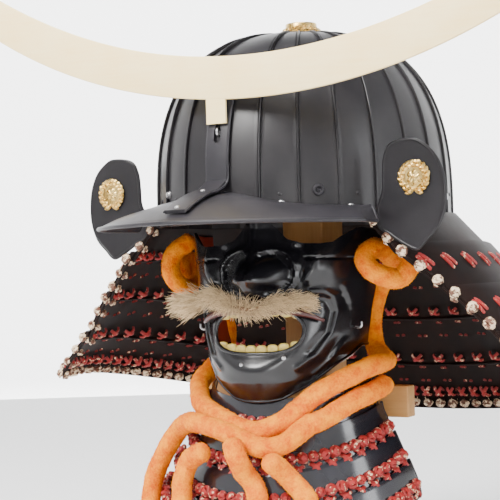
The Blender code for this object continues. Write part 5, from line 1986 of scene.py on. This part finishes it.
    def _cut_mouth(self, mesh: bpy.types.Mesh, grow: float) -> bpy.types.Mesh:
        """Cuts the mouth through a closed shell."""
        upright = (self.frame() @ Matrix.Translation((0, -self.depth, 0))
                   @ Matrix.Rotation(math.pi / 2, 4, "X"))
        cutter = helper(plate_mesh("mouth", self.mouth_outline(grow), 0.09, upright, 0.0))
        item = helper(mesh)
        step = item.modifiers.new("mouth", "BOOLEAN")
        step.object = cutter
        step.solver = "EXACT"
        made = settle(item, 38.0, mend=True)
        bpy.data.objects.remove(cutter, do_unlink=True)
        return made

    def build(self) -> list[bpy.types.Object]:
        """Builds the shell, the lining, the rolled mouth edge, the lip and the teeth."""
        shell = self._cut_mouth(walled(self.sheet(), self.wall, 0.0), 0.0)
        lining = self._cut_mouth(self._lining(), 0.0006)
        made = [add_piece("mask_shell", shell, Finish.MASK, ["mask"]),
                add_piece("mask_lining", lining, Finish.INSIDE)]
        rim = [self.at(x, z, -0.0006) for x, z in self.mouth_outline(0.0009, 150)]
        made.append(add_piece("mask_mouth_roll", loop_tube("mouth_roll", rim, 0.00165, 10), Finish.MASK))
        edge = self._edge_line()
        made.append(add_piece("mask_edge_roll", tube_mesh("edge_roll", edge, 0.0014, 10), Finish.MASK))
        return made + self._build_lip() + self._build_teeth() + self._build_fittings()

    def _edge_line(self) -> list[Vector]:
        """Returns the line of the mask's lower edge, from jaw to jaw."""
        points = []
        for turn in np.linspace(-1.0, 1.0, 61):
            angle = turn * math.pi / 2
            z = float(self.edge_bottom(np.array(angle)))
            point = Vector(self.local(turn, z)) + Vector((0, 0.0008, 0.0004))
            points.append(tuple(self.frame() @ point))
        back = [tuple(Vector(points[0]) + self.frame().to_3x3() @ Vector((0, self.back - 0.002, 0)))]
        end = [tuple(Vector(points[-1]) + self.frame().to_3x3() @ Vector((0, self.back - 0.002, 0)))]
        return smooth_line(back + points + end, 170)

    def _lining(self) -> bpy.types.Mesh:
        """Returns the thin red lining inside the shell, before its mouth is cut."""
        sheet = self.sheet(0.0016)
        with editing(sheet) as builder:
            builder.normal_update()
            moved = [v.co - v.normal * (self.wall + 0.0003) for v in builder.verts]
            for vertex, place in zip(builder.verts, moved):
                vertex.co = place
        return walled(sheet, 0.0005)

    def _build_lip(self) -> list[bpy.types.Object]:
        """Builds the red lacquered lip over the mouth."""
        half = self.mouth_half * 1.28
        line = []
        for i in range(41):
            share = -1.0 + 2.0 * i / 40
            z = self.mouth_top + 0.0045 * (1 - share ** 2) ** 1.2 - 0.006 * abs(share) ** 3 + 0.0012
            line.append(self.at(half * share, z, 0.0040))
        mesh = tube_mesh("upper_lip_roll", line, self._lip_radius, 14)
        return [add_piece("upper_lip_roll", mesh, Finish.LIP, ["upper_lip"])]

    @staticmethod
    def _lip_radius(share: float) -> float:
        """Returns the lip's radius along it: fullest in the middle, with a slight ripple."""
        return 0.0012 + 0.0026 * (1 - abs(2 * share - 1) ** 2.4) * (1 + 0.10 * math.sin(share * 31))

    def _build_teeth(self) -> list[bpy.types.Object]:
        """Builds both rows of teeth."""
        lower = self._tooth_row(self.teeth, self.tooth_pitch, self.mouth_bottom - 0.0012, 1, 0.0070)
        upper = self._tooth_row(self.teeth, self.tooth_pitch, self.mouth_top + 0.0062, -1, 0.0072)
        return [add_piece("lower_teeth_row", lower, Finish.TOOTH, ["lower_teeth"]),
                add_piece("upper_teeth_row", upper, Finish.TOOTH, ["upper_teeth"])]

    def _tooth_row(self, count: int, pitch: float, z: float, side: int, height: float) -> bpy.types.Mesh:
        """Builds a row of rounded teeth.

        Args:
            count: how many teeth.
            pitch: the distance between them.
            z: the height of their roots.
            side: 1 where they stand up and -1 where they hang.
            height: their height.

        Returns:
            The mesh.
        """
        parts = []
        inverse = self.frame().inverted()
        for k in range(count):
            x = (k - (count - 1) / 2) * pitch
            share = x / (count * pitch / 2)
            bend = -0.0038 * share ** 2 if side < 0 else 0.0034 * share ** 2
            base = inverse @ self.at(x * 0.97, z + bend)
            centre = Vector((base.x, base.y + self.wall + 0.0024, z + bend + side * height * 0.30))
            rows = []
            for v in np.linspace(0.02, math.pi - 0.02, 12):
                rows.append([])
                for u in circle(16):
                    c, s = math.cos(u), math.sin(u)
                    px = pitch * 0.52 * math.copysign(abs(c) ** 0.75, c) * math.sin(v) ** 0.6
                    py = 0.0019 * math.copysign(abs(s) ** 0.75, s) * math.sin(v) ** 0.6
                    pz = height * 0.62 * math.copysign(abs(math.cos(v)) ** 0.8, math.cos(v))
                    rows[-1].append(self.frame() @ (centre + Vector((px, py, pz))))
            parts.append(settle(helper(grid_mesh("tooth", rows, wrap=True)), 60.0, mend=True))
        return joined([closed(part, smooth=False) for part in parts])

    def _build_fittings(self) -> list[bpy.types.Object]:
        """Builds the two pins below the mouth and the jaw hooks."""
        parts = []
        for x, z in self.pins:
            out = self.outward(x, z)
            place = frame_to(self.at(x, z, -0.0004), out, Vector((0, 0, 1)))
            parts.append(turned_mesh("pin", [(0.0016, -0.0006), (0.0016, 0.0008), (0.0010, 0.0014),
                                             (0.00002, 0.0016)], place, 14))
        for side in (-1, 1):
            x, z = side * self.jaw_hook[0], self.jaw_hook[1]
            start, out = self.at(x, z, -0.0006), self.outward(x, z)
            line = [start, start + out * 0.004, start + out * 0.0065 + Vector((0, 0, 0.0015)),
                    start + out * 0.0068 + Vector((0, 0, 0.0045))]
            parts.append(tube_mesh("jaw_hook", smooth_line([tuple(p) for p in line], 14), 0.0009, 8))
        return [add_piece("mask_fittings", joined(parts), Finish.STEEL)]


@dataclass
class Moustache:
    """The bristles under the nose: long and swept at the ends, short and spiky between."""

    mask: Mask
    half_span: float = 0.0485
    shift: float = -0.0115
    rise: float = 0.0140
    sag_left: float = 0.0030
    sag_right: float = 0.0075
    count: int = 4200
    bristle_radius: float = 0.00024

    def build(self, shop: Workshop, shapes: Shapes) -> list[bpy.types.Object]:
        """Builds the bristles in two lengths on a thin core."""
        dice = np.random.default_rng(12)
        frame = self.mask.frame().to_3x3()
        up, across = frame @ Vector((0, 0, 1)), frame @ Vector((1, 0, 0))
        short, long = Points(), Points()
        core = [self._middle(float(share), 0.0096) for share in np.linspace(-0.97, 0.97, 41)]
        fronts = [(self._middle(float(share), 0.0140) - place).normalized() for share, place in
                  zip(np.linspace(-0.97, 0.97, 41), core)]
        for _ in range(self.count):
            share = float(dice.uniform(-1.0, 1.0))
            at = (share + 1) * 20
            ahead = fronts[round(at)]
            near = min(int(at), 39)
            place = core[near].lerp(core[near + 1], at - near) + up * float(dice.normal(0, 0.0027))
            place += ahead * float(dice.normal(0, 0.0014))
            swing = float(dice.normal(0, 0.75)) + (0.5 if dice.uniform() < 0.5 else -0.5)
            lean = math.copysign(abs(share) ** 1.1 * 1.25, share)
            way = (up * math.sin(swing * (1.15 - 0.45 * abs(share)))
                   + across * (lean + float(dice.normal(0, 0.22)))
                   + ahead * (0.42 + float(dice.normal(0, 0.22)))).normalized()
            size = 0.72 + 0.35 * float(dice.uniform()) + 0.35 * abs(share) * (1.3 if share < 0 else 0.8)
            kind = long if share < -0.55 and dice.uniform() < 0.7 else short
            kind.add(place, way, across * math.copysign(1, share) - up * 0.4, size,
                     float(dice.uniform(0.2, 1.0)))
        body = tube_mesh("moustache_core", core, self._thickness, 10)
        made = [add_piece("moustache_core", body, Finish.HAIR, ["moustache"])]
        for name, points, length, bend, vary in (("bristles", short, 0.0066, 0.20, 0.25),
                                                 ("sweep", long, 0.0125, 0.18, 0.2)):
            bristle = shapes.bristle(length, self.bristle_radius, bend)
            made.append(shop.strew(f"moustache_{name}", points, bristle, Finish.HAIR, Turn.LOOSE, vary))
        return made

    def _middle(self, share: float, lift: float) -> Vector:
        """Returns a point on the moustache's middle line."""
        sag = self.sag_right if share > 0 else self.sag_left
        z = self.mask.mouth_top + self.rise - sag * share ** 2
        return self.mask.at(self.shift + self.half_span * share, z, lift)

    @staticmethod
    def _thickness(share: float) -> float:
        """Returns the core's radius along it."""
        return 0.0014 + 0.0012 * abs(2 * share - 1)


@dataclass
class ThroatGuard(Lames):
    """The laced throat guard that hangs from the mask."""

    mask: Mask = field(default_factory=Mask)
    shift: float = 0.004
    knot_pitch: float = 0.0082
    cross_pitch: float = 0.0125
    rows: tuple[tuple[float, ...], ...] = (
        # width, depth, end_z, middle_z
        (0.880, 0.922, 0.900, 0.985), (0.970, 1.020, 1.060, 1.200), (1.120, 1.170, 1.200, 1.375),
        (1.270, 1.320, 1.340, 1.550), (1.410, 1.460, 1.480, 1.720),
    )

    def point(self, level: float, share: float, lift: float) -> Vector:
        """Returns a point of the guard, share from -1 to 1 across it."""
        level = max(level, 0.0)
        angle = share * math.radians(84)
        wide = self.mask.half_width * interpolated(self.rows, 0, level) + lift
        deep = self.mask.depth * interpolated(self.rows, 1, level) + lift
        ends, middle = interpolated(self.rows, 2, level), interpolated(self.rows, 3, level)
        fall = -self.mask.chin_z * (ends + (middle - ends) * math.cos(angle))
        place = Vector((wide * math.sin(angle) + self.shift, -deep * math.cos(angle), -fall))
        return self.mask.frame() @ place

    def lame_levels(self, index: int) -> tuple[list[float], list[float]]:
        """Returns a lame's levels and how far it stands off there."""
        if index == 0:
            return [0.0, 0.5, 1.0], [0.0, 0.0, 0.0]
        skin = (self.thick + self.gap) * 1.5
        return [index - 0.22, index + 0.5, index + 1.0], [skin * 1.1, skin * 0.8, 0.0]

    def build(self) -> list[bpy.types.Object]:
        """Builds the lames and their pale worn rims."""
        made = []
        for index in range(4):
            made.append(self.plate(f"throat_plate_{index + 1}", index, Finish.THROAT, 96,
                                   f"throat_lame_{index + 1}"))
            rim = tube_mesh(f"throat_rim_{index + 1}", self.rim_line(index, 150), self.rim, 8)
            made.append(add_piece(f"throat_rim_{index + 1}", rim, Finish.SATIN))
        return made

    def lace(self, shop: Workshop, shapes: Shapes) -> list[bpy.types.Object]:
        """Builds the rows of braided knots along each lame."""
        ball, cross = shapes.ball_knot(), shapes.cross_knot()
        rows = []
        for lame in range(4):
            rows.append(Lacing(f"throat_knots_{lame + 1}", lame, lame + 0.52, self.knot_pitch, ball,
                               Finish.RED_BRAID, ends=0.05, turn=Turn.ANY, vary=0.1))
            if lame:
                rows.append(Lacing(f"throat_crosses_{lame + 1}", lame, lame + 0.82, self.cross_pitch, cross,
                                   Finish.RED_BRAID, ends=0.05))
        return self.laced(shop, rows)


@dataclass(frozen=True)
class CordRoute:
    """One run of the cord: its piece, the CAD node that it replaces and its route from the rim."""

    name: str
    node: str
    route: tuple[Point, ...]


@dataclass
class VelvetCord:
    """The thick orange velvet cord, its knot and its tails."""

    diameter: float = 0.0155
    pile: float = 0.0008
    density: float = 250000.0
    spacing: float = 0.0028
    runs: tuple[CordRoute, ...] = (
        CordRoute("velvet_left", "cord_left", (
            (0.100, -0.035, -0.026), (0.107, -0.040, -0.037), (0.110, -0.044, -0.047),
            (0.103, -0.048, -0.057), (0.096, -0.056, -0.056), (0.086, -0.063, -0.050),
            (0.081, -0.062, -0.041), (0.083, -0.049, -0.034), (0.082, -0.024, -0.039),
            (0.072, 0.006, -0.050), (0.058, 0.014, -0.062), (0.052, 0.012, -0.078), (0.051, 0.009, -0.096),
            (0.056, 0.003, -0.112), (0.068, -0.009, -0.1185), (0.079, -0.028, -0.120),
            (0.080, -0.053, -0.1215), (0.068, -0.079, -0.130), (0.057, -0.093, -0.138),
            (0.045, -0.103, -0.149))),
        CordRoute("velvet_left_lower", "cord_left_lower", (
            (0.081, -0.036, -0.137), (0.0812, -0.046, -0.139), (0.0795, -0.0585, -0.1415),
            (0.0765, -0.070, -0.144), (0.073, -0.080, -0.1475), (0.065, -0.0945, -0.1545),
            (0.0585, -0.1045, -0.159))),
        CordRoute("velvet_right", "cord_right", (
            (-0.088, -0.040, -0.025), (-0.095, -0.048, -0.032), (-0.098, -0.052, -0.043),
            (-0.093, -0.052, -0.056), (-0.090, -0.036, -0.062), (-0.092, -0.018, -0.053),
            (-0.101, -0.012, -0.041), (-0.106, -0.020, -0.041), (-0.104, -0.026, -0.050),
            (-0.102, -0.010, -0.061), (-0.095, 0.008, -0.076), (-0.087, 0.013, -0.095),
            (-0.080, -0.001, -0.113), (-0.074, -0.029, -0.125), (-0.0695, -0.056, -0.135),
            (-0.056, -0.079, -0.143), (-0.042, -0.097, -0.149), (-0.028, -0.107, -0.153))),
        CordRoute("velvet_bow", "cord_bow", (
            (-0.0235, -0.1245, -0.160), (-0.036, -0.119, -0.1595), (-0.050, -0.108, -0.162),
            (-0.064, -0.096, -0.168), (-0.076, -0.094, -0.181), (-0.085, -0.094, -0.195),
            (-0.090, -0.096, -0.210), (-0.090, -0.101, -0.226), (-0.080, -0.113, -0.238),
            (-0.062, -0.129, -0.240), (-0.044, -0.138, -0.231), (-0.036, -0.139, -0.217),
            (-0.039, -0.133, -0.203), (-0.038, -0.127, -0.191), (-0.031, -0.130, -0.184),
            (-0.022, -0.1315, -0.1795))),
    )
    knot: tuple[tuple[Point, ...], ...] = (
        ((-0.0268, -0.1078, -0.1534), (-0.012, -0.114, -0.158), (0.006, -0.119, -0.163),
         (0.021, -0.119, -0.1645), (0.034, -0.1135, -0.159), (0.0441, -0.1038, -0.1498)),
        ((0.012, -0.127, -0.1695), (0.028, -0.131, -0.1745), (0.042, -0.123, -0.1725),
         (0.0558, -0.1057, -0.1592)),
        ((-0.0219, -0.1252, -0.1602), (-0.009, -0.1285, -0.1625), (0.004, -0.130, -0.1665),
         (0.018, -0.130, -0.171)),
    )
    tails: tuple[CordRoute, ...] = (
        CordRoute("velvet_tail_1", "cord_tail_1", (
            (0.0139, -0.1452, -0.1717), (0.018, -0.147, -0.181), (0.019, -0.139, -0.192),
            (0.024, -0.135, -0.201), (0.028, -0.137, -0.210))),
        CordRoute("velvet_tail_2", "cord_tail_2", (
            (0.041, -0.1390, -0.1834), (0.0445, -0.131, -0.190), (0.049, -0.126, -0.197),
            (0.056, -0.124, -0.205), (0.062, -0.124, -0.212))),
    )

    def line(self, route: Sequence[Point], spacing: float) -> list[Vector]:
        """Returns evenly spaced points along a route, in the row frame."""
        points = [(x, y, RIM_Z + z) for x, y, z in route]
        rough = sum((Vector(b) - Vector(a)).length for a, b in zip(points, points[1:]))
        return smooth_line(points, max(5, round(rough / spacing)))

    def _tube(self, name: str, line: Sequence[Vector]) -> bpy.types.Mesh:
        """Builds a soft tube with gentle lumps."""
        mesh = tube_mesh(name, line, self.diameter / 2, 28)
        for vertex in mesh.vertices:
            lump = noise.noise(vertex.co * 90.0) * 0.0007 + noise.noise(vertex.co * 260.0) * 0.0003
            vertex.co += vertex.normal * (lump - 0.0002)
        mesh.shade_smooth()
        return mesh

    def _pile(self, shop: Workshop, shapes: Shapes, name: str, mesh: bpy.types.Mesh,
              seed: int) -> bpy.types.Object:
        """Covers a tube with short fibres that stand every way.

        Args:
            shop: the workshop that copies the fibre.
            shapes: the maker of the fibre.
            name: the piece's name.
            mesh: the tube.
            seed: the seed of the fibres' places.

        Returns:
            The piece.
        """
        dice = np.random.default_rng(seed)
        mesh.calc_loop_triangles()
        triangles = np.array([t.vertices[:] for t in mesh.loop_triangles])
        places = np.array([v.co[:] for v in mesh.vertices])
        normals = np.array([v.normal[:] for v in mesh.vertices])
        a, b, c = (places[triangles[:, k]] for k in range(3))
        area = np.linalg.norm(np.cross(b - a, c - a), axis=1) / 2
        count = int(area.sum() * self.density)
        chosen = dice.choice(len(triangles), count, p=area / area.sum())
        u, v = dice.random(count), dice.random(count)
        swap = u + v > 1
        u[swap], v[swap] = 1 - u[swap], 1 - v[swap]
        at = a[chosen] + (b - a)[chosen] * u[:, None] + (c - a)[chosen] * v[:, None]
        out = normals[triangles[chosen, 0]] + dice.normal(0, 0.42, (count, 3))
        points = Points()
        for place, way, size in zip(at, out, dice.uniform(0.6, 1.2, count)):
            points.add(Vector(place), Vector(way).normalized(), Vector((0, 0, -1)), float(size))
        return shop.strew(name, points, shapes.bristle(self.pile, 0.00019, 0.3, 2), Finish.PILE, Turn.ANY)

    def build(self, shop: Workshop, shapes: Shapes) -> list[bpy.types.Object]:
        made: dict[str, bpy.types.Object] = {}
        piles: dict[str, bpy.types.Object] = {}
        lines: dict[str, list[Vector]] = {}
        for index, run in enumerate(self.runs + self.tails):
            line = self.line(run.route, self.spacing)
            mesh = self._tube(run.name, line)
            made[run.name] = add_piece(run.name, mesh, Finish.VELVET, [run.node])
            piles[run.name] = self._pile(shop, shapes, f"{run.name}_pile", mesh, 40 + index)
            lines[run.name] = line
        wraps = [self._tube("velvet_wrap", self.line(route, self.spacing)) for route in self.knot]
        knot_mesh = joined(wraps)
        made["velvet_knot"] = add_piece("velvet_knot", knot_mesh, Finish.VELVET, ["cord_knot"])
        piles["velvet_knot"] = self._pile(shop, shapes, "velvet_knot_pile", knot_mesh, 60)
        for run in self.runs:
            if run.name == "velvet_left_lower":
                continue
            line = lines[run.name]
        return list(made.values()) + list(piles.values())


@dataclass
class Stand:
    """The plain wooden stand: base, post, head block and crossbar."""

    nodes: dict[str, object]

    def build(self) -> list[bpy.types.Object]:
        """Builds softened copies of the stand's parts with their grain."""
        made = []
        for node, finish, edge in (
                ("stand_base", Finish.WOOD_X, 0.002), ("stand_post", Finish.WOOD_Z, 0.0008),
                ("stand_head_block", Finish.WOOD_Z, 0.0), ("stand_bar", Finish.WOOD_X, 0.0005)):
            mesh = self.nodes[node].data.copy()
            with editing(mesh) as builder:
                bmesh.ops.remove_doubles(builder, verts=builder.verts, dist=DOUBLE)
                bmesh.ops.dissolve_limit(builder, angle_limit=0.02, verts=builder.verts,
                                         edges=builder.edges)
            mesh.materials.clear()
            item = helper(mesh)
            if edge:
                step = item.modifiers.new("edge", "BEVEL")
                step.width = edge
                step.segments = 2
                step.limit_method = "ANGLE"
            made.append(add_piece(f"{node}_wood", settle(item, 30.0), finish, [node]))
        return made


@dataclass
class Stage:
    """The pale floor and backdrop, the studio lights and the camera at the photo's angle."""

    camera_place: Point = (0.57366, -1.04651, 0.26306)
    camera_right: Point = (0.857045, 0.514299, -0.031157)
    camera_up: Point = (0.028595, 0.0129, 0.999508)
    camera_back: Point = (0.514448, -0.857514, -0.00365)
    lens: float = 107.35

    def build(self) -> None:
        """Builds the floor, the light and the camera."""
        self._floor()
        self._world()
        self._lights()
        self._camera()

    def _floor(self) -> None:
        """Builds the floor that curves up into the backdrop all round."""
        rows = []
        profile = [(0.0, 0.0), (1.2, 0.0), (2.2, 0.0)]
        profile += [(2.2 + 1.4 * math.sin(t), 1.4 * (1 - math.cos(t))) for t in
                    (math.pi / 2 * k / 14 for k in range(1, 15))]
        for radius, z in profile + [(3.6, 3.4)]:
            reach = max(radius, 0.001)
            rows.append([(reach * math.cos(angle), reach * math.sin(angle), z) for angle in circle(96)])
        mesh = settle(helper(grid_mesh("studio_floor", rows[::-1], wrap=True)), 60.0, mend=True)
        item = linked("studio_floor", mesh)
        mesh.materials.append(PlainFinish("studio_paper", (0.93, 0.93, 0.93)).build())

    @staticmethod
    def _world() -> None:
        """Sets a dim even ambient light."""
        world = bpy.data.worlds.new("studio")
        world.use_nodes = True
        shade = world.node_tree.nodes["Background"]
        shade.inputs["Color"].default_value = (0.92, 0.95, 1.0, 1.0)
        shade.inputs["Strength"].default_value = 0.45
        bpy.context.scene.world = world

    def _lights(self) -> None:
        """Places the softboxes by the camera's own right, up and back."""
        self._softbox("key", (-0.80, 1.05, 0.85), (0.60, 0.60), 52.0, (1.0, 0.985, 0.96))
        self._softbox("fill", (1.25, 0.25, 0.7), (0.30, 0.9), 8.0, (0.96, 0.98, 1.0))
        self._softbox("top", (-0.1, 1.5, 0.3), (0.9, 0.7), 26.0, (1.0, 1.0, 1.0))
        self._softbox("front", (0.15, -0.15, 1.6), (0.5, 0.5), 9.0, (1.0, 0.99, 0.97))
        self._softbox("backdrop", (0.0, 0.6, -1.3), (3.0, 2.4), 330.0, (1.0, 1.0, 1.0), away=True)

    def _softbox(self, name: str, place: Point, size: tuple[float, float], power: float, tint: Point,
                 away: bool = False) -> None:
        """Adds a rectangular light that faces the helmet, or away from it.

        Args:
            name: its name.
            place: how far it is to the camera's right, up and back from the helmet.
            size: its width and height.
            power: its power in watts.
            tint: its colour.
            away: whether it lights the backdrop behind it instead.
        """
        middle = Vector((0.0, -0.02, 0.26))
        axes = [Vector(self.camera_right), Vector((0, 0, 1)), Vector(self.camera_back)]
        at = middle + sum((axis * part for axis, part in zip(axes, place)), Vector())
        data = bpy.data.lights.new(name, "AREA")
        data.shape = "RECTANGLE"
        data.size, data.size_y = size
        data.energy = power
        data.color = tint
        lamp = linked(name, data)
        facing = (middle - at) if away else (at - middle)
        lamp.matrix_world = Matrix.Translation(at) @ facing.to_track_quat("Z", "Y").to_matrix().to_4x4()

    def _camera(self) -> None:
        """Places the camera."""
        data = bpy.data.cameras.new("camera")
        data.lens = self.lens
        data.sensor_width = 36.0
        camera = linked("camera", data)
        axes = (Vector(self.camera_right), Vector(self.camera_up), Vector(self.camera_back))
        camera.matrix_world = Matrix.Translation(self.camera_place) @ Matrix(axes).transposed().to_4x4()
        bpy.context.scene.camera = camera


def report(name: str, pieces: Iterable[bpy.types.Object]) -> None:
    """Logs each piece of a sub-assembly with its triangles."""
    for piece in pieces:
        piece.data.calc_loop_triangles()
        LOG.info("%s: %s, %d triangles", name, piece.name, len(piece.data.loop_triangles))


def main(frame: dict[str, object]) -> None:
    """Builds the whole scene in order.
    """
    shop, shapes = Workshop(), Shapes()
    bowl = Bowl()
    peak = Peak(bowl)
    bracket = Bracket(peak)
    crest = Crest(bracket)
    guard = NeckGuard(bowl=bowl)
    mask = Mask()
    throat = ThroatGuard(mask=mask)
    leaf = shapes.leaf()
    report("cord", VelvetCord().build(shop, shapes))
    report("mask", mask.build())
    report("moustache", Moustache(mask).build(shop, shapes))
    report("bowl", [bowl.build_shell(), *bowl.build_rivets(shop, shapes), Crown().build(bowl)])
    report("peak", [*peak.build(), peak.build_rivets(shop, shapes)])
    report("bracket", [*bracket.build(), bracket.build_rivets(shop, shapes)])
    report("crest", crest.build())
    report("neck guard", [*guard.build(), *guard.lace(shop, shapes)])
    for side in (-1, 1):
        turn_back = TurnBack(guard, side)
        report("turn-back", [*turn_back.build(), *turn_back.build_badge(shop, leaf)])
    report("throat guard", [*throat.build(), *throat.lace(shop, shapes)])
    report("stand", Stand(frame["nodes"]).build())
    Stage().build()


if __name__ == "__main__":
    logging.basicConfig(level=logging.INFO, format="%(message)s")
    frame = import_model()
    main(frame)
